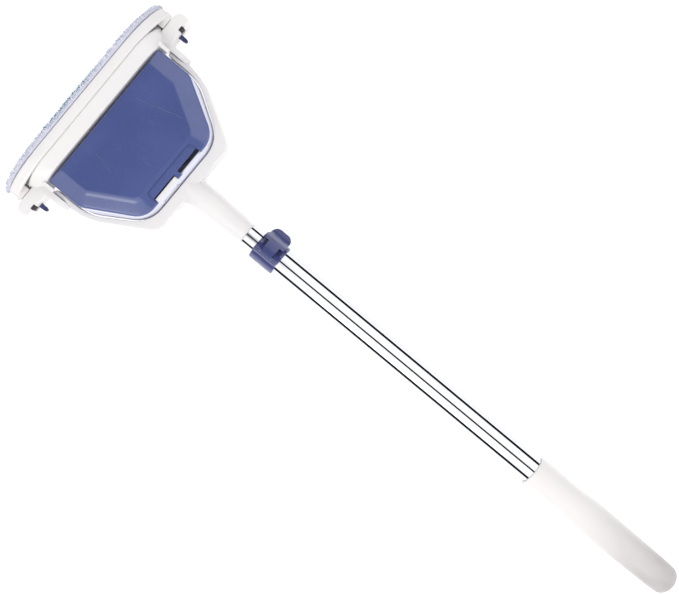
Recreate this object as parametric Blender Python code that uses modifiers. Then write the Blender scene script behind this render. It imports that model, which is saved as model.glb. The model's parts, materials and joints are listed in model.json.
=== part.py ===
"""Telescopic wall brush: a wide soft pad on a tilting head, a lidded tray behind the pad,
a forked stem, a two-tube pole with a flip clamp, and a moulded grip.

Metres, +Z up. +Y runs along the pole from the grip to the pad, and X across the head.
The brush lies with the long edge of its pad on the ground plane, lid upwards, and its
bounding box is centred on X and Y.
"""
import math

import bmesh
import bpy
from mathutils import Matrix, Vector

# --- Lengths along the pole, in order from the grip's end to the pad's face ---
GRIP_LENGTH = 0.1645
BARE_TUBE_LENGTH = 0.296
CLAMP_LENGTH = 0.026
BARE_STEM_LENGTH = 0.013
NECK_LENGTH = 0.062
FORK_REACH = 0.089
HEAD_DEPTH = 0.028
CARRIER_THICKNESS = 0.010
PAD_CLEARANCE = 0.0005
PAD_THICKNESS = 0.007

# --- Clearances ---
GAP = 0.0003
RUN = 0.0003
SWING = 0.0012

# --- Pole ---
TUBE_RADIUS = 0.0125
TUBE_WALL = 0.0008
STEM_RADIUS = 0.011
STEM_WALL = 0.0008
STEM_OVERLAP = 0.060
TRAVEL = 0.350
GRIP_WALL = 0.0024
GRIP_BELLY = 0.0032
GRIP_TIP_WALL = 0.0013
GRIP_TIP_RADIUS = TUBE_RADIUS + GRIP_TIP_WALL
CLAMP_WALL = 0.0020
CLAMP_RADIUS = TUBE_RADIUS + CLAMP_WALL
CLAMP_SLIT = 0.0015
TUBE_SEAT = 0.0125
LINER_WALL = 0.0011

# --- Flip lever, across the pole ---
LEVER_PIN_X = -0.0038
LEVER_PIN_STAND = 0.0035
LEVER_PIN_RISE = CLAMP_RADIUS + LEVER_PIN_STAND
LEVER_PIN_RADIUS = 0.0012
LEVER_KNUCKLE = 0.0031
TONGUE_WIDTH = 0.0120
PADDLE_WIDTH = 0.0205
PADDLE_REACH = 0.0225

# --- Neck and fork ---
NECK_ROOT_RADIUS = 0.0125
NECK_TIP_RADIUS = 0.0111
SPIGOT_LENGTH = 0.030
FORK_THICKNESS = 0.018
FORK_INNER_HALF = 0.0785
FORK_OUTER_HALF = 0.0845
FORK_TIP_OUTER_HALF = 0.0820
FORK_BAR = 0.011
FORK_TIP = 0.006
EAR_RADIUS = 0.012
EAR_THICKNESS = 0.0056
PIVOT_RADIUS = 0.0025

# --- Head ---
PAD_WIDTH = 0.222
PAD_HEIGHT = 0.064
CARRIER_WIDTH = 0.218
CARRIER_HEIGHT = 0.060
CARRIER_WALL = 0.0022
END_LENGTH = 0.047
RAIL_WIDTH = 0.187
RAIL_HEIGHT = 0.058
RAIL_WALL = 0.0024
RAIL_BACK_WIDTH = 0.171
RAIL_BACK_HEIGHT = 0.052
TRAY_FRONT = 0.0140
TRAY_REAR_GAP = 0.0043
LID_REAR = FORK_BAR - FORK_REACH + TRAY_REAR_GAP
TRAY_DROP = 0.022
TRAY_RIM = 0.014
TRAY_WALL = 0.0020
TRAY_SHOULDER = 0.0085
TRAY_TUCK = 0.0006
LID_EDGE = 0.020
LID_CROWN = 0.0236
LID_WALL = 0.0020
LID_CHAMFER = 0.0125
LUG_REACH = 0.115
LUG_INNER = 0.0880
LUG_HALF_HEIGHT = 0.0112
LUG_BACK = 0.010
LUG_FRONT = 0.024
LUG_WALL = 0.0028
LATCH_TRAVEL = 0.005
LATCH_TAB_X = 0.0970
LATCH_TAB_WIDTH = 0.0040
LATCH_TAB_REACH = 0.0085
HOOK_STRIP_LENGTH = 0.150
HOOK_STRIP_WIDTH = 0.018
HOOK_STRIP_THICKNESS = 0.0012

# --- Lid hinge and catch ---
LID_PIN_Y = 0.0070
LID_PIN_Z = 0.0170
LID_PIN_RADIUS = 0.0013
CATCH_INSET = 0.0024
CATCH_SIDE_GAP = 0.0010
LID_FRONT_GAP = 0.0007
NOTCH_REACH = 0.030
NOTCH_DEPTH = 0.0050

# --- Fasteners ---
SCREW_RADIUS = 0.0013
SCREW_HEAD_RADIUS = 0.0027
SCREW_HEAD_HEIGHT = 0.0018

# --- Stations that follow from the lengths ---
OVERALL_LENGTH = (
    GRIP_LENGTH + BARE_TUBE_LENGTH + CLAMP_LENGTH + BARE_STEM_LENGTH + NECK_LENGTH
    + FORK_REACH + HEAD_DEPTH + CARRIER_THICKNESS + PAD_CLEARANCE + PAD_THICKNESS
)
GRIP_END_Y = -OVERALL_LENGTH / 2
MOUTH_Y = GRIP_END_Y + GRIP_LENGTH
CLAMP_Y = MOUTH_Y + BARE_TUBE_LENGTH
CLAMP_FRONT_Y = CLAMP_Y + CLAMP_LENGTH
STEM_FRONT_Y = CLAMP_FRONT_Y + BARE_STEM_LENGTH
FORK_Y = STEM_FRONT_Y + NECK_LENGTH
TILT_Y = FORK_Y + FORK_REACH
AXIS_Z = PAD_HEIGHT / 2
STEM_BACK_Y = CLAMP_Y + TUBE_SEAT - TRAVEL - STEM_OVERLAP

ROUND_STEPS = 32
SMALL_STEPS = 20
SHARP = math.radians(35)

WHITE = (0.80, 0.79, 0.77)
GRIP_GREY = (0.72, 0.70, 0.69)
BLUE = (0.095, 0.120, 0.300)
DARK_BLUE = (0.055, 0.065, 0.170)
STEEL = (0.62, 0.63, 0.66)
PLATED = (0.50, 0.50, 0.52)
NYLON = (0.55, 0.57, 0.62)
PALE_FABRIC = (0.74, 0.77, 0.86)
BLACK = (0.03, 0.03, 0.035)


# ---------------------------------------------------------------- scene helpers

def clear_scene():
    """Remove whatever the start-up scene holds."""
    for item in list(bpy.data.objects):
        bpy.data.objects.remove(item, do_unlink=True)


def new_collection(name):
    group = bpy.data.collections.new(name)
    bpy.context.scene.collection.children.link(group)
    return group


def material(name, colour, roughness, metallic=0.0):
    mat = bpy.data.materials.new(name)
    mat.use_nodes = True
    shader = mat.node_tree.nodes["Principled BSDF"]
    shader.inputs["Base Color"].default_value = (*colour, 1.0)
    shader.inputs["Roughness"].default_value = roughness
    shader.inputs["Metallic"].default_value = metallic
    mat.diffuse_color = (*colour, 1.0)
    return mat


def frame_at(name, location, parent=None):
    """An empty that carries the pieces of one moving group, on its joint's axis."""
    empty = bpy.data.objects.new(name, None)
    PARTS.objects.link(empty)
    empty.parent = parent
    empty.location = location
    return empty


def as_object(name, mesh, frame, mat=None):
    """Link a mesh as a sub-part, or as a hidden cutter when it has no material."""
    item = bpy.data.objects.new(name, mesh)
    item.parent = frame
    if mat is None:
        CUTTERS.objects.link(item)
        item.hide_render = True
        item.display_type = "WIRE"
        return item
    PARTS.objects.link(item)
    mesh.materials.append(mat)
    mesh.shade_smooth()
    mesh.set_sharp_from_angle(angle=SHARP)
    return item


def mesh_from(name, shape, matrix=None):
    """Turn a bmesh into a mesh with outward faces."""
    if matrix is not None:
        bmesh.ops.transform(shape, matrix=matrix, verts=shape.verts)
    bmesh.ops.recalc_face_normals(shape, faces=shape.faces)
    mesh = bpy.data.meshes.new(name)
    shape.to_mesh(mesh)
    shape.free()
    return mesh


# ---------------------------------------------------------------- shapes

def box(name, low, high, frame, mat=None):
    size = [high[k] - low[k] for k in range(3)]
    middle = [(high[k] + low[k]) / 2 for k in range(3)]
    shape = bmesh.new()
    bmesh.ops.create_cube(shape, size=1.0)
    placed = Matrix.Translation(middle) @ Matrix.Diagonal((*size, 1.0))
    return as_object(name, mesh_from(name, shape, placed), frame, mat)


def rod(name, radius, start, end, frame, mat=None, steps=SMALL_STEPS):
    """A plain cylinder between two points."""
    start, end = Vector(start), Vector(end)
    along = end - start
    shape = bmesh.new()
    bmesh.ops.create_cone(shape, cap_ends=True, segments=steps, radius1=radius,
                          radius2=radius, depth=along.length)
    turn = along.to_track_quat("Z", "Y").to_matrix().to_4x4()
    placed = Matrix.Translation((start + end) / 2) @ turn
    return as_object(name, mesh_from(name, shape, placed), frame, mat)


def turned(name, profile, frame, mat=None, steps=ROUND_STEPS):
    """A body of revolution about the pole's axis: (radius, y) points, outer side from
    front to back. A ring's profile is closed, and a solid's ends on the axis."""
    mesh = bpy.data.meshes.new(name)
    solid = profile[0][0] == 0.0
    edges = [(k, k + 1) for k in range(len(profile) - 1)]
    if not solid:
        edges.append((len(profile) - 1, 0))
    mesh.from_pydata([(r, 0.0, y) for r, y in profile], edges, [])
    item = as_object(name, mesh, frame, mat)
    item.rotation_euler = (-math.pi / 2, 0.0, 0.0)
    screw = item.modifiers.new("turn", "SCREW")
    screw.axis = "Z"
    screw.steps = steps
    screw.render_steps = steps
    screw.use_merge_vertices = True
    screw.merge_threshold = 0.00001
    screw.use_smooth_shade = mat is not None
    return item


def slab(name, outline, low, high, frame, mat=None, normal="Z"):
    """A flat outline with a thickness. Its plane is XY, XZ (normal Y) or YZ (normal X)."""
    curve = bpy.data.curves.new(name, "CURVE")
    curve.dimensions = "2D"
    curve.fill_mode = "BOTH"
    curve.extrude = (high - low) / 2
    spline = curve.splines.new("POLY")
    spline.points.add(len(outline) - 1)
    for point, (a, b) in zip(spline.points, outline):
        point.co = (a, b, 0.0, 1.0)
    spline.use_cyclic_u = True
    holder = bpy.data.objects.new(name + "_outline", curve)
    CUTTERS.objects.link(holder)
    graph = bpy.context.evaluated_depsgraph_get()
    flat = bpy.data.meshes.new_from_object(holder.evaluated_get(graph))
    bpy.data.objects.remove(holder, do_unlink=True)
    middle = (low + high) / 2
    turns = {
        "Z": Matrix.Translation((0, 0, middle)),
        "Y": Matrix.Translation((0, middle, 0)) @ Matrix.Rotation(math.pi / 2, 4, "X"),
        "X": Matrix.Translation((middle, 0, 0))
        @ Matrix(((0, 0, 1, 0), (1, 0, 0, 0), (0, 1, 0, 0), (0, 0, 0, 1))),
    }
    shape = bmesh.new()
    shape.from_mesh(flat)
    bmesh.ops.remove_doubles(shape, verts=shape.verts, dist=0.00001)
    bmesh.ops.dissolve_limit(shape, angle_limit=math.radians(1), verts=shape.verts,
                             edges=shape.edges)
    bpy.data.meshes.remove(flat)
    return as_object(name, mesh_from(name, shape, turns[normal]), frame, mat)


def loft(name, loops, frame, mat=None):
    """A closed body through stacked loops of equal length, with flat ends."""
    shape = bmesh.new()
    rings = [[shape.verts.new(point) for point in loop] for loop in loops]
    count = len(rings[0])
    for lower, upper in zip(rings, rings[1:]):
        for k in range(count):
            shape.faces.new((lower[k], lower[(k + 1) % count],
                             upper[(k + 1) % count], upper[k]))
    shape.faces.new(rings[0][::-1])
    shape.faces.new(rings[-1])
    return as_object(name, mesh_from(name, shape), frame, mat)


def coil(name, radius, wire, turns, start, end, frame, mat):
    """A compression spring along X between two points on its axis."""
    per_turn = 8
    count = turns * per_turn
    curve = bpy.data.curves.new(name, "CURVE")
    curve.dimensions = "3D"
    curve.bevel_depth = wire
    curve.bevel_resolution = 2
    curve.use_fill_caps = True
    spline = curve.splines.new("POLY")
    spline.points.add(count)
    axis = (Vector(end) - Vector(start)).normalized()
    side = Vector((0, 0, 1))
    other = axis.cross(side)
    for k, point in enumerate(spline.points):
        angle = 2 * math.pi * k / per_turn
        centre = Vector(start).lerp(Vector(end), k / count)
        ring = side * math.cos(angle) + other * math.sin(angle)
        point.co = (*(centre + ring * radius), 1.0)
    holder = bpy.data.objects.new(name + "_wire", curve)
    CUTTERS.objects.link(holder)
    graph = bpy.context.evaluated_depsgraph_get()
    drawn = bpy.data.meshes.new_from_object(holder.evaluated_get(graph))
    bpy.data.objects.remove(holder, do_unlink=True)
    shape = bmesh.new()
    shape.from_mesh(drawn)
    bmesh.ops.remove_doubles(shape, verts=shape.verts, dist=0.00001)
    bpy.data.meshes.remove(drawn)
    return as_object(name, mesh_from(name, shape), frame, mat)


def bevel(item, width, segments=2, angle=40):
    """Round the edges of a body that are sharper than an angle in degrees."""
    mod = item.modifiers.new("round", "BEVEL")
    mod.width = width
    mod.segments = segments
    mod.limit_method = "ANGLE"
    mod.angle_limit = math.radians(angle)
    mod.use_clamp_overlap = True
    return item


def boolean(item, tool, operation):
    mod = item.modifiers.new(operation.lower(), "BOOLEAN")
    mod.operation = operation
    mod.object = tool
    mod.solver = "EXACT"
    return item


def cut(item, *tools):
    for tool in tools:
        boolean(item, tool, "DIFFERENCE")
    return item


def add(item, *tools):
    for tool in tools:
        boolean(item, tool, "UNION")
    return item


# ---------------------------------------------------------------- outlines

def rounded(corners, steps=6):
    """A closed outline through (x, y, radius) corners, each turned into an arc."""
    outline = []
    for k, (x, y, radius) in enumerate(corners):
        here = Vector((x, y))
        if radius == 0.0:
            outline.append((x, y))
            continue
        back = (Vector(corners[k - 1][:2]) - here).normalized()
        ahead = (Vector(corners[(k + 1) % len(corners)][:2]) - here).normalized()
        half = back.angle(ahead) / 2
        reach = radius / math.tan(half)
        centre = here + (back + ahead).normalized() * (radius / math.sin(half))
        first = here + back * reach - centre
        turn = (here + ahead * reach - centre).angle_signed(first)
        for step in range(steps + 1):
            spun = Matrix.Rotation(turn * step / steps, 2) @ first
            outline.append((centre.x + spun.x, centre.y + spun.y))
    return outline


def mirrored(half):
    """Complete an outline from its +X corners, listed from front to back."""
    return half + [(-x, y, radius) for x, y, radius in reversed(half)]


def oval(width, height, end, y):
    """A level bar with elliptical ends, as a loop in the plane across the pole."""
    steps = 12
    loop = []
    for side in (1, -1):
        for step in range(steps + 1):
            angle = math.pi * (step / steps - 0.5)
            x = side * (width / 2 - end + end * math.cos(angle))
            z = side * height / 2 * math.sin(angle)
            loop.append(Vector((x, y, z)))
    return loop


def tray_outline(inset, z, share, front=None):
    """The tray's outline at a height: share 0 is the belly that just clears the fork,
    share 1 the edge of the lid. An inset moves the straight sides inwards, and the front
    edge too unless it has its own."""
    belly = ((FORK_INNER_HALF - SWING, -0.0290), (0.0475, FORK_BAR - FORK_REACH + SWING))
    edge = ((FORK_INNER_HALF - SWING - 0.0006, -0.0224), (0.0469, LID_REAR))
    side = Vector(belly[0]).lerp(Vector(edge[0]), share)
    rear = Vector(belly[1]).lerp(Vector(edge[1]), share)
    side_radius = 0.045 + (0.012 - 0.045) * share
    rear_radius = 0.029 + (0.021 - 0.029) * share
    slant = math.atan2(side.x - rear.x, side.y - rear.y)
    side_x = side.x - inset
    rear_y = rear.y + inset
    lean = math.tan(slant)
    shift = inset / math.cos(slant)
    side_y = side.y + (shift - inset) / lean
    rear_x = rear.x - shift + inset * lean
    corners = mirrored([
        (side_x, TRAY_FRONT - (inset if front is None else front), 0.0015),
        (side_x, side_y, side_radius - inset * 0.4),
        (rear_x, rear_y, max(rear_radius - inset, 0.004)),
    ])
    return [Vector((x, y, z)) for x, y in rounded(corners)]


def fork_outline():
    """The U of the fork with its two thinned tips, in plan."""
    bar_inner = FORK_BAR - FORK_REACH
    outer = [
        (FORK_TIP_OUTER_HALF, FORK_TIP, 0.0),
        (FORK_TIP_OUTER_HALF, -EAR_RADIUS - 2 * GAP, 0.0),
        (FORK_OUTER_HALF, -EAR_RADIUS - 2 * GAP, 0.0),
        (FORK_OUTER_HALF - 0.0040, -0.0360, 0.055),
        (0.0490, -FORK_REACH, 0.013),
    ]
    inner = [
        (0.0480, bar_inner, 0.030),
        (FORK_INNER_HALF, -0.0300, 0.050),
        (FORK_INNER_HALF, FORK_TIP, 0.0),
    ]
    right = rounded_run(outer)
    right_inner = rounded_run(inner, before=(0.0, bar_inner), after=(FORK_INNER_HALF, 0.1))
    left_inner = [(-x, y) for x, y in reversed(right_inner)]
    left = [(-x, y) for x, y in reversed(right)]
    return right + left + left_inner + right_inner


def rounded_run(corners, before=None, after=None):
    """An open run of rounded corners, taken from a closed outline with guide ends."""
    first = before or (corners[0][0] - 0.01, corners[0][1])
    last = after or (0.0, corners[-1][1])
    closed = [(*first, 0.0), *corners, (*last, 0.0)]
    return rounded(closed)[1:-1]


# ---------------------------------------------------------------- pole

def build_handle(frame, mats):
    """Outer tube, grip, plugs and the fixed part of the clamp."""
    bore = TUBE_RADIUS - TUBE_WALL
    seat_y = CLAMP_Y + TUBE_SEAT
    grip_floor = GRIP_END_Y + 0.008
    turned("outer_tube", [
        (TUBE_RADIUS, seat_y), (TUBE_RADIUS, grip_floor + 0.004),
        (bore, grip_floor + 0.004), (bore, seat_y),
    ], frame, mats["steel"])

    mouth = TUBE_RADIUS + GRIP_WALL
    belly = TUBE_RADIUS + GRIP_BELLY
    hollow = TUBE_RADIUS + GAP
    dome = [
        (GRIP_TIP_RADIUS * math.cos(a), GRIP_END_Y + 0.0105 * (1 - math.sin(a)))
        for a in [math.radians(10 * k) for k in range(10)]
    ]
    dome[-1] = (0.0, GRIP_END_Y)
    outside = [
        (hollow, MOUTH_Y), (mouth, MOUTH_Y - 0.0006), (mouth + 0.0003, MOUTH_Y - 0.020),
        (mouth - 0.0002, MOUTH_Y - 0.046), (belly, MOUTH_Y - 0.058),
        (belly, MOUTH_Y - 0.075), (mouth + 0.0003, MOUTH_Y - 0.110),
        *dome,
    ]
    turned("grip", [(0.0, grip_floor), (hollow, grip_floor), *outside], frame, mats["grip"])

    turned("tube_plug", [
        (0.0, grip_floor + 0.016), (bore - GAP, grip_floor + 0.016),
        (bore - GAP, grip_floor + 0.0040), (TUBE_RADIUS, grip_floor + 0.0036),
        (TUBE_RADIUS, grip_floor + GAP), (0.0, grip_floor + GAP),
    ], frame, mats["nylon"])

    inner = TUBE_RADIUS + GAP
    collar = turned("clamp_collar", [
        (CLAMP_RADIUS - 0.0006, CLAMP_FRONT_Y), (CLAMP_RADIUS, CLAMP_FRONT_Y - 0.0006),
        (CLAMP_RADIUS, CLAMP_Y + 0.0006), (CLAMP_RADIUS - 0.0006, CLAMP_Y),
        (inner, CLAMP_Y), (inner, CLAMP_FRONT_Y - 0.0015),
        (STEM_RADIUS + RUN, CLAMP_FRONT_Y - 0.0015), (STEM_RADIUS + RUN, CLAMP_FRONT_Y),
    ], frame, mats["blue"])
    liner_inner = STEM_RADIUS + RUN
    liner_outer = max(liner_inner + LINER_WALL, TUBE_RADIUS - 0.0001)
    turned("clamp_liner", [
        (liner_outer, CLAMP_FRONT_Y - 0.0015 - GAP),
        (liner_outer, seat_y + GAP),
        (liner_inner, seat_y + GAP), (liner_inner, CLAMP_FRONT_Y - 0.0015 - GAP),
    ], frame, mats["nylon"])

    middle = (CLAMP_Y + CLAMP_FRONT_Y) / 2
    knuckle_inner = TONGUE_WIDTH / 2 + GAP
    knuckle_outer = CLAMP_LENGTH / 2 - 0.0004
    top = LEVER_PIN_RISE
    root = inner + 0.0008
    block = [
        (LEVER_PIN_X - LEVER_KNUCKLE, root - 0.0012), (LEVER_PIN_X + 0.0085, root - 0.0003),
        (LEVER_PIN_X + 0.0060, top - 0.0006),
    ]
    arc = [
        (LEVER_PIN_X + LEVER_KNUCKLE * math.cos(math.radians(a)),
         top + LEVER_KNUCKLE * math.sin(math.radians(a)))
        for a in range(20, 181, 20)
    ]
    for side, tag in ((-1, "rear"), (1, "front")):
        near = middle + side * knuckle_inner
        far = middle + side * knuckle_outer
        knuckle = slab("knuckle_" + tag, block + arc, min(near, far), max(near, far),
                       frame, normal="Y")
        add(collar, knuckle)
    pin_ends = (CLAMP_Y - 0.01, CLAMP_FRONT_Y + 0.01)
    cut(collar, rod("lever_pin_bore", LEVER_PIN_RADIUS + RUN,
                    (LEVER_PIN_X, pin_ends[0], top), (LEVER_PIN_X, pin_ends[1], top), frame))
    cut(collar, box("clamp_slit", (0.0062, seat_y - 0.002, 0.006),
                    (0.0062 + CLAMP_SLIT, CLAMP_FRONT_Y + 0.001, 0.020), frame))
    rod("lever_pin", LEVER_PIN_RADIUS, (LEVER_PIN_X, CLAMP_Y + 0.0008, top),
        (LEVER_PIN_X, CLAMP_FRONT_Y - 0.0008, top), frame, mats["plated"])


def build_lever(frame, mats):
    """Flip lever: a tongue on the pin that opens into a curled thumb paddle."""
    reach = PADDLE_REACH - LEVER_PIN_X
    rest = CLAMP_RADIUS + GAP - LEVER_PIN_RISE
    knuckle = [
        (LEVER_KNUCKLE * math.cos(math.radians(a)), LEVER_KNUCKLE * math.sin(math.radians(a)))
        for a in range(100, 271, 17)
    ]
    tongue = slab("clamp_lever", knuckle + [
        (0.0035, rest + 0.0008), (0.0125, rest + 0.0006), (0.0150, rest + 0.0012),
        (0.0150, 0.0012), (0.0120, 0.0026), (0.0050, 0.0033),
    ], -TONGUE_WIDTH / 2, TONGUE_WIDTH / 2, frame, mats["blue"], normal="Y")
    paddle = slab("paddle_curl", [
        (0.0122, 0.0025), (0.0155, 0.0008), (0.0178, -0.0030), (0.0196, -0.0078),
        (0.0222, -0.0102), (reach, -0.0108), (reach, -0.0130), (0.0216, -0.0130),
        (0.0188, -0.0112), (0.0170, -0.0078), (0.0155, -0.0038), (0.0140, -0.0012),
        (0.0122, 0.0002),
    ], -PADDLE_WIDTH / 2, PADDLE_WIDTH / 2, frame, normal="Y")
    add(tongue, paddle)
    corner = PADDLE_WIDTH * 0.32
    plan = rounded([
        (-0.02, -PADDLE_WIDTH / 2, 0.0), (reach, -PADDLE_WIDTH / 2, corner),
        (reach, PADDLE_WIDTH / 2, corner), (-0.02, PADDLE_WIDTH / 2, 0.0),
    ], steps=8)
    boolean(tongue, slab("paddle_plan", plan, -0.03, 0.02, frame), "INTERSECT")
    cut(tongue, rod("tongue_bore", LEVER_PIN_RADIUS + RUN, (0, -0.02, 0), (0, 0.02, 0), frame))


def build_guide(frame, mats):
    """Loose guide ring that carries the stem's tail in the outer tube."""
    turned("guide_ring", [
        (TUBE_RADIUS - TUBE_WALL - GAP, STEM_BACK_Y - 0.0033),
        (TUBE_RADIUS - TUBE_WALL - GAP, STEM_BACK_Y - 0.0147),
        (0.0084, STEM_BACK_Y - 0.0147), (0.0084, STEM_BACK_Y - 0.0033),
    ], frame, mats["nylon"])


def build_stem(frame, mats):
    """Inner tube with its tail plug, neck, fork halves and fasteners."""
    bore = STEM_RADIUS - STEM_WALL
    tube = turned("inner_tube", [
        (STEM_RADIUS, STEM_FRONT_Y), (STEM_RADIUS, STEM_BACK_Y),
        (bore, STEM_BACK_Y), (bore, STEM_FRONT_Y),
    ], frame, mats["steel"])
    cut(tube, box("key_notch", (-0.0011, STEM_FRONT_Y - 0.0026, 0.008),
                  (0.0011, STEM_FRONT_Y + 0.001, 0.013), frame))
    turned("tail_plug", [
        (0.0, STEM_BACK_Y + 0.014), (bore - GAP, STEM_BACK_Y + 0.014),
        (bore - GAP, STEM_BACK_Y - 0.0003), (STEM_RADIUS - 0.0002, STEM_BACK_Y - 0.0003),
        (STEM_RADIUS - 0.0002, STEM_BACK_Y - 0.0030), (0.0080, STEM_BACK_Y - 0.0030),
        (0.0080, STEM_BACK_Y - 0.0150), (STEM_RADIUS - 0.0002, STEM_BACK_Y - 0.0150),
        (STEM_RADIUS - 0.0002, STEM_BACK_Y - 0.0180), (0.0, STEM_BACK_Y - 0.0180),
    ], frame, mats["nylon"])

    bar_inner_y = FORK_Y + FORK_BAR
    spigot = bore - GAP
    spigot_y = STEM_FRONT_Y - SPIGOT_LENGTH
    neck_profile = [
        (0.0, bar_inner_y - 0.0008), (FORK_THICKNESS / 2 + 0.0002, bar_inner_y - 0.0008),
        (FORK_THICKNESS / 2 + 0.0016, FORK_Y + 0.0050), (NECK_ROOT_RADIUS - 0.0006, FORK_Y),
        (NECK_ROOT_RADIUS, FORK_Y - 0.0060), (NECK_ROOT_RADIUS, FORK_Y - 0.022),
        (NECK_TIP_RADIUS + 0.0002, STEM_FRONT_Y + 0.0080),
        (NECK_TIP_RADIUS - 0.0006, STEM_FRONT_Y + 0.0068),
        (NECK_TIP_RADIUS - 0.0006, STEM_FRONT_Y + GAP), (spigot, STEM_FRONT_Y + GAP),
        (spigot, spigot_y + 0.001), (spigot - 0.001, spigot_y), (0.0, spigot_y),
    ]
    half = FORK_THICKNESS / 2
    outline = [(x, y + TILT_Y) for x, y in fork_outline()]
    web = [
        (0.0200, FORK_Y + 0.004), (0.0200, FORK_Y - 0.0001),
        *[(NECK_ROOT_RADIUS - 0.0006 + 0.006 * (1 - math.sin(math.radians(a))),
           FORK_Y - 0.006 * (1 - math.cos(math.radians(a)))) for a in range(15, 91, 15)],
    ]
    web += [(-x, y) for x, y in reversed(web)]
    screws = [(x, FORK_Y + FORK_BAR / 2) for x in (-0.0390, -0.0210, 0.0210, 0.0390)]
    for tag, sign in (("upper", 1), ("lower", -1)):
        piece = slab("fork_" + tag, outline, -half, half, frame, mats["white"])
        bevel(piece, 0.0022, 3, 60)
        add(piece, turned("neck_body_" + tag, neck_profile, frame))
        add(piece, slab("fillet_" + tag, web, -half + 0.002, half - 0.002, frame))
        limits = sorted((sign * -0.030, sign * GAP / 2))
        cut(piece, box("split_" + tag, (-0.2, spigot_y - 0.01, limits[0]),
                       (0.2, TILT_Y + 0.05, limits[1]), frame))
        for side in (1, -1):
            cut(piece, rod("pivot_bore_%s_%d" % (tag, side), PIVOT_RADIUS + RUN,
                           (side * 0.070, TILT_Y, 0), (side * 0.090, TILT_Y, 0), frame))
        for k, (x, y) in enumerate(screws):
            top = half - 0.0030 if sign > 0 else half
            cut(piece, rod("fork_hole_%s_%d" % (tag, k), SCREW_RADIUS + GAP,
                           (x, y, -half - 0.001), (x, y, top), frame, steps=16))
            if sign < 0:
                cut(piece, rod("fork_sink_%d" % k, SCREW_HEAD_RADIUS + GAP, (x, y, -half - 0.001),
                               (x, y, -half + SCREW_HEAD_HEIGHT + 0.0012), frame, steps=16))
    head_z = -half + 0.0009
    build_screws("fork_screw", [((x, y, head_z), (x, y, half - 0.0036)) for x, y in screws],
                 frame, mats["plated"])
    for side, tag in ((1, "right"), (-1, "left")):
        outer = side * (FORK_TIP_OUTER_HALF + GAP + EAR_THICKNESS - 0.0016)
        rod("pivot_pin_" + tag, PIVOT_RADIUS, (side * (FORK_INNER_HALF + 0.0002), TILT_Y, 0),
            (outer, TILT_Y, 0), frame, mats["plated"])
    rivet_y = STEM_FRONT_Y - 0.018
    hole = rod("rivet_hole", 0.0016, (0, rivet_y, -0.02), (0, rivet_y, -0.0055), frame, steps=16)
    cut(tube, hole)
    cut(bpy.data.objects["fork_lower"], hole)
    rod("neck_rivet", 0.0013, (0, rivet_y, -STEM_RADIUS - 0.0001), (0, rivet_y, -0.0060),
        frame, mats["plated"], steps=16)


def build_screws(name, runs, frame, mat):
    """Identical screws, each from its head's face to its tip."""
    for k, (start, tip) in enumerate(runs, 1):
        start, tip = Vector(start), Vector(tip)
        along = (tip - start).normalized()
        screw = rod("%s_%d" % (name, k), SCREW_HEAD_RADIUS, start,
                    start + along * SCREW_HEAD_HEIGHT, frame, mat, steps=16)
        shank = rod("%s_shank_%d" % (name, k), SCREW_RADIUS, start + along * 0.0004, tip,
                    frame, steps=12)
        add(screw, shank)


# ---------------------------------------------------------------- head

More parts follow.
